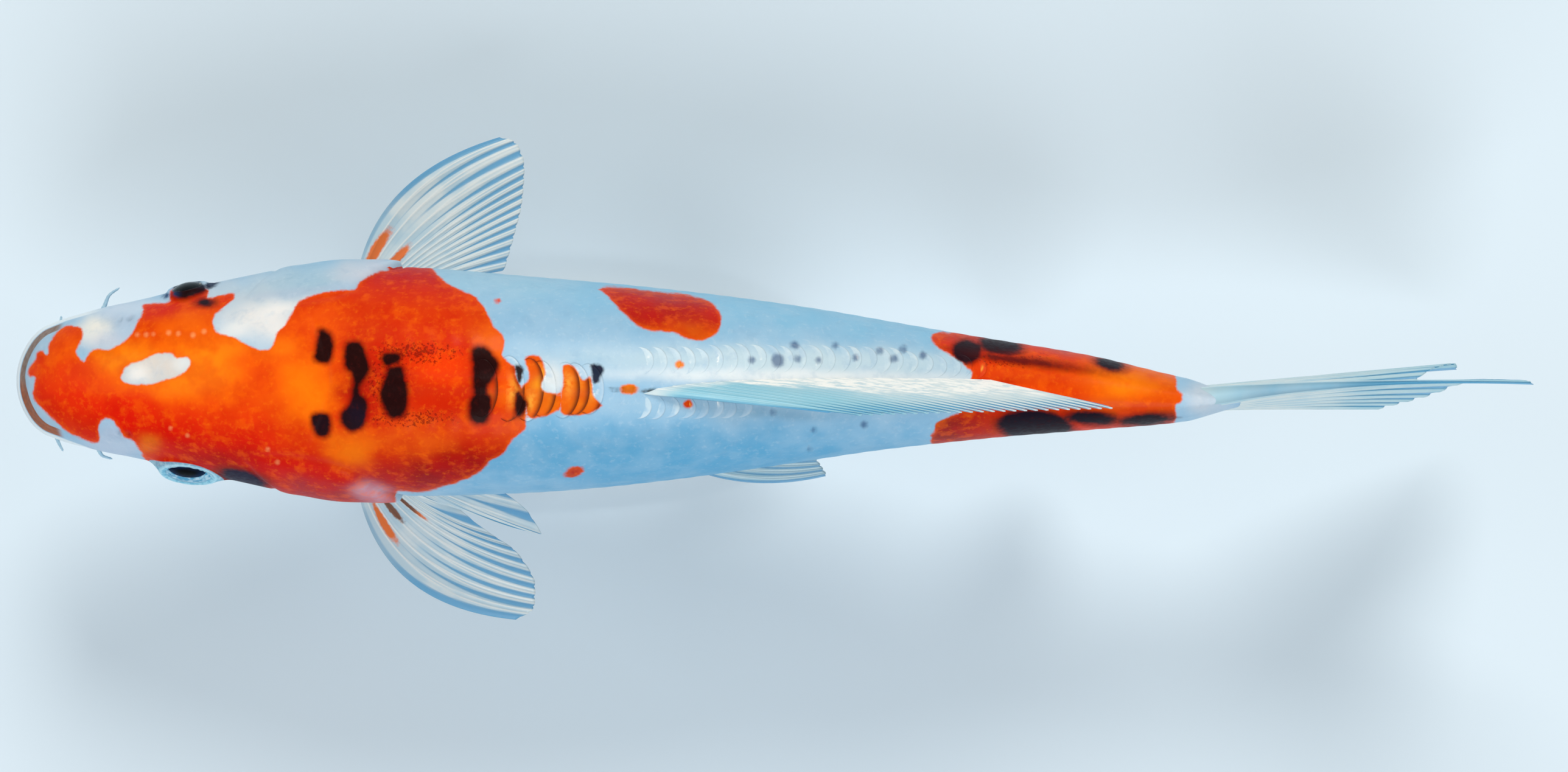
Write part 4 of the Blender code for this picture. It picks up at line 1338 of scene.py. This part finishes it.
def fin_map(rows, columns):
    """The bake's map of a fin: one side in each half of the unit square, and the edge round the first."""
    across, out = np.meshgrid(np.linspace(0, 1, columns), np.linspace(0, 1, rows), indexing="ij")
    flat = np.stack([across, out], -1).reshape(-1, 2)
    size = (1 - 2 * MAP_MARGIN, 0.5 - 2 * MAP_MARGIN)
    first = flat * size + MAP_MARGIN
    second = first + (0, 0.5)
    outward = np.sign(flat - 0.5) * (np.abs(flat - 0.5) > 0.4999) * MAP_EDGE
    sheet, border = grid_faces(columns, rows), border_of(columns, rows)
    after = np.roll(border, -1)
    edge = np.stack([first[border], first[after], (first + outward)[after], (first + outward)[border]], 1)
    return np.vstack([first[sheet.ravel()], second[sheet[:, ::-1].ravel()], edge.reshape(-1, 2)])


def build_fin(name, roots, tips, bows, rays, material, tint, rows=72, band=0.3, clear_from=0.4, spread=0.14,
              notch=0.7, pleat=0.2, thick=(2.2, 0.34), lead=1.0, ridge=0.34):
    """A thin closed sheet of ridged, forking rays. Band is half a ray's width at the margin, in pitches."""
    columns = rays * COLUMNS_PER_RAY + 1
    share = np.linspace(0, 1, columns)
    from_first = share[:, None] * (rays - 0.5 + EDGE_LEAD) - EDGE_LEAD
    from_ray = from_first - np.clip(np.round(from_first), 0, rays)
    run = np.tile(np.linspace(0, 1, rows), (columns, 1))
    ends = fan(roots, tips, bows, share, run)
    length = np.linalg.norm(ends[:, -1] - ends[:, 0], axis=-1)[:, None]
    run = run * (1 - notch / length * np.minimum(np.abs(2 * from_ray), 1) ** 3 * run**3)
    middle = fan(roots, tips, bows, share, run)
    pitch = np.linalg.norm(np.gradient(middle, axis=0), axis=-1) * (columns - 1) / rays
    branch = np.abs(np.abs(from_ray) - spread * ease(run, 0.35, 0.85))
    ray = bump(branch * pitch, 0.42 - 0.16 * run)
    half = 0.5 - (0.5 - band) * ease(run, clear_from, 1.0)
    clear = 0.4 * ease(run, 0.1, 0.25) + 0.6 * ease(run, clear_from - 0.05, clear_from + 0.2)
    clear = clear * ease(np.abs(from_ray), half - 0.07, half + 0.05)
    normal = unit(np.cross(np.gradient(middle, axis=0), np.gradient(middle, axis=1)))
    fold = pleat * run * np.cos(2 * math.pi * from_ray)
    middle = middle + fold[..., None] * normal
    base = thick[1] + (thick[0] - thick[1]) * (1 - run) ** 2.2
    ridges = ridge * (1 - 0.5 * run) * ray * (0.3 + 0.7 * ease(run, 0.02, 0.15))
    leading = 0.45 * lead * bump(from_first, 0.35) * (1 - 0.7 * run)
    height = (base / 2 + ridges + leading - 0.1 * clear)[..., None]
    points = np.stack([middle + height * normal, middle - height * normal]).reshape(-1, 3)
    piece = make_mesh(name, points, two_sided_faces(columns, rows).tolist(), material)
    values = {"ray": ray, "run": run, "along": run * length, "clear": clear}
    values.update(tint(share[:, None], run))
    write_values(piece, **{key: np.tile((numbers + 0 * run).ravel(), 2) for key, numbers in values.items()})
    write_map(piece, fin_map(rows, columns))
    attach(piece, "root")
    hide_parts(name)


def right_root_tint(share, run):
    """Two orange streaks where the right pectoral fin meets the body."""
    first = bump(share - 0.07 - 0.05 * run, 0.045) * bump(run - 0.22, 0.14)
    second = bump(share - 0.26, 0.045) * bump(run - 0.24, 0.11)
    return {"orange": 1.15 * np.maximum(first, second)}


def left_root_tint(share, run):
    """Three streaks at the root of the left pectoral fin, the second and the foot of the third brown."""
    first = bump(share - 0.115 + 0.07 * run, 0.032) * bump(run - 0.27, 0.12)
    second = bump(share - 0.22, 0.03) * bump(run - 0.24, 0.1)
    third = bump(share - 0.38, 0.03) * bump(run - 0.28, 0.17)
    brown = ease(share, 0.15, 0.18) * (1 - ease(run, 0.33, 0.40) * ease(share, 0.28, 0.31))
    return {"orange": 1.1 * np.maximum(np.maximum(first, second), third), "brown": brown}


def tail_tint(share, run):
    """More blue-green along the outer edge and towards the margin."""
    return {"turquoise": 0.1 + 0.45 * ease(run, 0.35, 0.95) + 0.3 * bump(share, 0.2)}


def even_tint(share, run):
    """The same blue-green all over."""
    return {"turquoise": np.full((share * run).shape, 0.45)}


def dorsal_tint(share, run):
    """White streaks at the foot of each ray, longest at the rear, and a blue-green web in the front half."""
    rear = ease(share, 0.15, 0.6)
    wave = run + 0.05 * np.sin(share * 39) + 0.03 * np.sin(share * 97)
    streaks = 1 - ease(wave, 0.10 + 0.3 * rear, 0.22 + 0.45 * rear)
    return {
        "turquoise": ease(run, 0.06, 0.2) * (0.95 - 0.75 * rear),
        "white": streaks * (0.15 + 0.85 * ease(share, 0.06, 0.25)),
    }


def build_paired_fins(material):
    """The pectoral fins behind the gill covers and the pelvic fins under the belly."""
    build_fin(
        "fin_pectoral_right",
        ((0, 134.5, 36, -42), (1, 153, 39, -39)),
        (
            (0, 196, 104.5, -46), (0.1, 202, 102, -46), (0.25, 205.8, 92, -45), (0.5, 205, 78, -44),
            (0.75, 202, 64, -42), (1, 197.5, 48, -41),
        ),
        ((0, -13.5, 8.5, 3), (0.12, -9, 6, 2.5), (0.35, -3, 2, 2), (1, 0, 0, 1)),
        13, material, right_root_tint, rows=88,
    )
    build_fin(
        "fin_pectoral_left",
        ((0, 134.5, -33, -42), (1, 153, -36, -39)),
        (
            (0, 203, -99.2, -46), (0.1, 210, -93.5, -46), (0.25, 210.4, -85, -45), (0.45, 203, -71, -44),
            (0.6, 190, -61.5, -43), (0.68, 177, -51, -41), (0.76, 203, -60.5, -42),
            (0.86, 213.2, -62.9, -42), (0.94, 208, -54, -41), (1, 199, -46, -40),
        ),
        ((0, -14.5, -13.5, 3), (0.12, -11, -10, 2.5), (0.35, -5, -5, 2), (1, 0, 0, 1)),
        13, material, left_root_tint, rows=88,
    )
    build_fin(
        "fin_pelvic_right",
        ((0, 245, 17, -57), (1, 255, 8, -60.5)),
        ((0, 318, 28, -66), (0.35, 316, 22, -66), (0.7, 309, 15, -66), (1, 298, 8, -66)),
        ((0, -3, 6.5, -1), (0.3, -1, 2, -0.5), (1, 0, 1, 0)),
        14, material, even_tint, band=0.36, clear_from=0.3,
    )
    build_fin(
        "fin_pelvic_left",
        ((0, 245, -17, -57), (1, 255, -8, -60.5)),
        ((0, 333.6, -38.8, -66), (0.25, 329, -32, -66), (0.65, 316, -19.5, -66), (1, 302, -10, -66)),
        ((0, -3, -11.5, -1), (0.3, -1, -5, -0.5), (1, 0, -1, 0)),
        14, material, even_tint, band=0.36, clear_from=0.3,
    )


def build_single_fins(material):
    """The folded back fin and the fin behind the vent."""
    build_fin(
        "fin_dorsal",
        (
            (0, 256, -3.6, 60.0), (0.05, 261, -0.6, 59.4), (0.25, 287, 2.2, 55.0), (0.5, 323, 2.6, 48.0),
            (0.75, 359, 2.4, 39.4), (1, 396, 1.8, 31.6),
        ),
        ((0, 342, -12.2, 62), (0.5, 396, -10.8, 49), (1, 449, -9.4, 36)),
        ((0, -1, 0.4, 1.6), (0.1, 0, 0.4, 1.2), (1, 0, 0, 0)),
        24, material, dorsal_tint, rows=80, band=0.2, clear_from=0.62, spread=0.1, notch=9.0, pleat=0.22,
        thick=(1.6, 0.36), lead=0.3, ridge=0.18,
    )
    build_fin(
        "fin_anal",
        ((0, 367, -0.5, -36), (1, 398, -1.5, -29)),
        ((0, 418, -4, -71), (0.3, 426, -4.4, -66), (0.7, 430, -4.6, -55), (1, 430, -4.6, -46)),
        ((0, -2, 0, -4), (1, 0, 0, 0)),
        8, material, even_tint, lead=1.4,
    )


def build_tail_fin(material):
    """The two lobes of the tail fin, each from its outer edge in."""
    start = BODY_END - 14
    lobes = {
        "upper": (
            ((0, start - 8, -6.2, 19), (0.3, start - 4, -6.3, 13), (1, start, -6.5, -0.6)),
            (
                (0, 611, 0, 78), (0.12, 607, 1.5, 68), (0.35, 594, 2.0, 45), (0.65, 576, -4.5, 22),
                (1, 557, -10.4, -0.4),
            ),
            ((0, -4, 3.0, 5), (0.3, -1, 1.5, 3), (1, 0, -1.0, 0)),
        ),
        "lower": (
            ((0, start - 8, -6.2, -18), (0.3, start - 4, -6.3, -12), (1, start, -6.5, 0.6)),
            (
                (0, 604, 6.5, -74), (0.12, 600, 8.8, -65), (0.35, 589, 7.0, -45), (0.65, 574, -1, -22),
                (1, 557, -9.8, 0.4),
            ),
            ((0, -4, 1.0, -5), (0.3, -1, 1.0, -3), (1, 0, -1.0, 0)),
        ),
    }
    for lobe, outline in lobes.items():
        build_fin(
            f"fin_caudal_{lobe}", *outline, 10, material, tail_tint, rows=88, clear_from=0.45, notch=1.4,
            thick=(8.4, 0.4),
        )


# ---------------------------------------------------------------- eyes and feelers


EYE_SEGMENTS = 72


def revolved(sign, profile):
    """Points [ring, segment] of a shape turned round an eye's line of sight: distances out, and radii."""
    middle, (along, up, out) = eye_axes(sign)
    angle = 2 * math.pi * np.arange(EYE_SEGMENTS) / EYE_SEGMENTS
    round_it = np.cos(angle)[:, None] * along + np.sin(angle)[:, None] * up
    away, radius = np.array(profile, float).T
    return middle + away[:, None, None] * out + radius[:, None, None] * round_it


def cap_faces(rings, segments):
    """Faces of a turned shape, with one more in the small hole that is left at each end."""
    faces = grid_faces(rings, segments, closed=True)[:, ::-1].tolist()
    last = (rings - 1) * segments
    return [list(range(segments))[::-1]] + faces + [list(range(last, last + segments))]


def build_eye(sign, ball, glass):
    """A ball under a clear dome. The left pupil rolls upwards, a long dark oval in a pale iris."""
    eye = EYES[sign]
    degrees = np.concatenate([[0.8], np.linspace(4, 58, 36), np.linspace(60, 179, 24)])
    angles = np.radians(degrees)
    radius = eye.radius - 0.03 * ease(degrees, 30, 36)
    p = revolved(sign, np.column_stack([radius * np.cos(angles), radius * np.sin(angles)]))
    eyeball = make_mesh(f"eye_{eye.side}", p.reshape(-1, 3), cap_faces(*p.shape[:2]), ball)
    along, up, out = eye_places(p, sign) / eye.opening
    if sign > 0:
        from_pupil = np.degrees(np.arctan2(np.hypot(along, up), out))
        upness = up / np.maximum(np.hypot(along, up), 0.01)
    else:
        from_pupil = PUPIL_EDGE * np.hypot((along - 0.02) / 0.84, (up - 0.62) / 0.42)
        upness = up
    pale = np.full(up.shape, float(sign < 0))
    write_values(eyeball, from_axis=from_pupil, upness=upness, pale=pale)
    outer = np.radians(np.linspace(1, 58, 24))
    inner = outer[::-1]
    shell = [
        radius * np.column_stack([np.cos(angles), np.sin(angles)])
        for radius, angles in ((eye.radius + 0.12, outer), (eye.radius + 0.05, inner))
    ]
    q = revolved(sign, np.vstack(shell))
    cornea = make_mesh(f"cornea_{eye.side}", q.reshape(-1, 3), cap_faces(*q.shape[:2]), glass)
    for piece in (eyeball, cornea):
        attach(piece, "root")
        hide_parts(f"eye_{eye.side}")


def build_feeler(name, route, start_radius, material):
    """A soft, tapering feeler whose root flares out of the lip."""
    rings, segments = 40, 20
    end_radius = 0.4
    line = curve_through([(i, *point) for i, point in enumerate(route)])
    at = np.linspace(0, len(route) - 1, rings)
    middle = line(at)
    share = at / at[-1]
    radius = start_radius + (end_radius - start_radius) * share**0.8
    radius += 1.5 * np.exp(-share / 0.09) + 0.05 * np.sin(at * 21)
    radius[-3:] *= (0.85, 0.6, 0.2)
    forward = unit(np.gradient(middle, axis=0))
    side = unit(np.cross(forward, (0, 0, 1.0)))
    up = np.cross(side, forward)
    angle = -2 * math.pi * np.arange(segments) / segments
    around = np.cos(angle)[:, None] * side[:, None] + np.sin(angle)[:, None] * up[:, None]
    p = middle[:, None] + radius[:, None, None] * around
    piece = make_mesh(name, p.reshape(-1, 3), cap_faces(rings, segments), material)
    outside = np.full(rings * segments, OUTSIDE)
    write_values(piece, hi=outside, sumi=outside, dots=outside, pores=outside)
    write_colours(piece, ground=np.tile(srgb(176, 198, 212), (rings * segments, 1)))
    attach(piece, "root")
    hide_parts(name)


def build_feelers(material):
    """Two pairs, at the front of the upper lip and at the corners of the mouth: root radius, then route."""
    feelers = {
        "front_right": (1.1, (14, 21, -11.5), (15, 23.5, -12.5), (15.7, 26, -14), (15.6, 28.4, -15.5)),
        "front_left": (1.1, (13, -18, -11.5), (14, -21.5, -12.5), (15.2, -25, -14), (16.4, -27.6, -15.5)),
        "rear_right": (1.25, (29, 26, -19), (32.4, 32, -21), (34.2, 37, -23), (38.4, 40.4, -25)),
        "rear_left": (1.25, (29, -22, -19), (30, -26.5, -21), (31.5, -29.6, -23), (35.4, -31, -25)),
    }
    for name, (radius, *route) in feelers.items():
        build_feeler(f"barbel_{name}", route, radius, material)


# ---------------------------------------------------------------- studio


def paint_stand():
    """The stand's own parts stay as they are, and only take their finish."""
    paint, steel = base_material(), rod_material()
    for name, material, slot in (
        ("stand_base", paint, "stand_base"),
        ("stand_rod_front", steel, "stand_rod"),
        ("stand_rod_rear", steel, "stand_rod"),
    ):
        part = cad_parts[name]
        part.data.materials.clear()
        part.data.materials.append(material)


def add_floor():
    mesh = bpy.data.meshes.new("floor")
    reach = 4.0  # metres from the middle of the floor to each edge
    corners = [(-reach, -reach, 0), (reach, -reach, 0), (reach, reach, 0), (-reach, reach, 0)]
    mesh.from_pydata(corners, [], [(0, 1, 2, 3)])
    mesh.materials.append(floor_material())
    floor = bpy.data.objects.new("floor", mesh)
    bpy.context.scene.collection.objects.link(floor)


def add_area_light(name, location, target, size, power, colour=(1, 1, 1)):
    light = bpy.data.lights.new(name, "AREA")
    light.shape = "DISK"
    light.size = size
    light.energy = power
    light.color = colour
    lamp = bpy.data.objects.new(name, light)
    lamp.location = location
    x, y, z = np.array(location) - np.array(target)
    lamp.rotation_euler = (math.atan2(math.hypot(x, y), z), 0, math.atan2(y, x) + math.pi / 2)
    bpy.context.scene.collection.objects.link(lamp)


def add_lights():
    middle = (0.1, 0, 0.1)
    add_area_light("key", (0.1, 1.8, 1.9), middle, 1.0, 42, (1.0, 0.97, 0.93))
    add_area_light("fill", (0.2, -1.8, 1.9), middle, 1.6, 42, (0.97, 0.98, 1.0))
    add_area_light("front", (-1.9, 0.2, 1.5), middle, 1.2, 7)
    add_area_light("rear", (2.2, 0.2, 1.6), middle, 1.2, 7)
    world = bpy.data.worlds.new("studio")
    world.use_nodes = True
    sky = world.node_tree.nodes["Background"]
    sky.inputs["Color"].default_value = (0.9, 0.95, 1.0, 1.0)
    sky.inputs["Strength"].default_value = 0.27
    bpy.context.scene.world = world
    bpy.context.scene.view_settings.view_transform = "Standard"


def add_camera():
    """Straight above the fish, with its head to the left of the picture."""
    lens = bpy.data.cameras.new("camera")
    lens.sensor_width = 36.0
    lens.lens = lens.sensor_width * CAMERA_HEIGHT / VIEW_WIDTH
    camera = bpy.data.objects.new("camera", lens)
    camera.location = place((VIEW_STATION, VIEW_ASIDE, CAMERA_HEIGHT))
    bpy.context.scene.collection.objects.link(camera)
    bpy.context.scene.camera = camera


def main():
    add_camera()
    skin = build_skin()
    build_scales()
    fins = fin_material()
    build_paired_fins(fins)
    build_single_fins(fins)
    build_tail_fin(fins)
    ball, glass = eye_material(), cornea_material()
    for sign in EYES:
        build_eye(sign, ball, glass)
    build_feelers(skin.data.materials[0])
    paint_stand()
    add_floor()
    add_lights()


main()
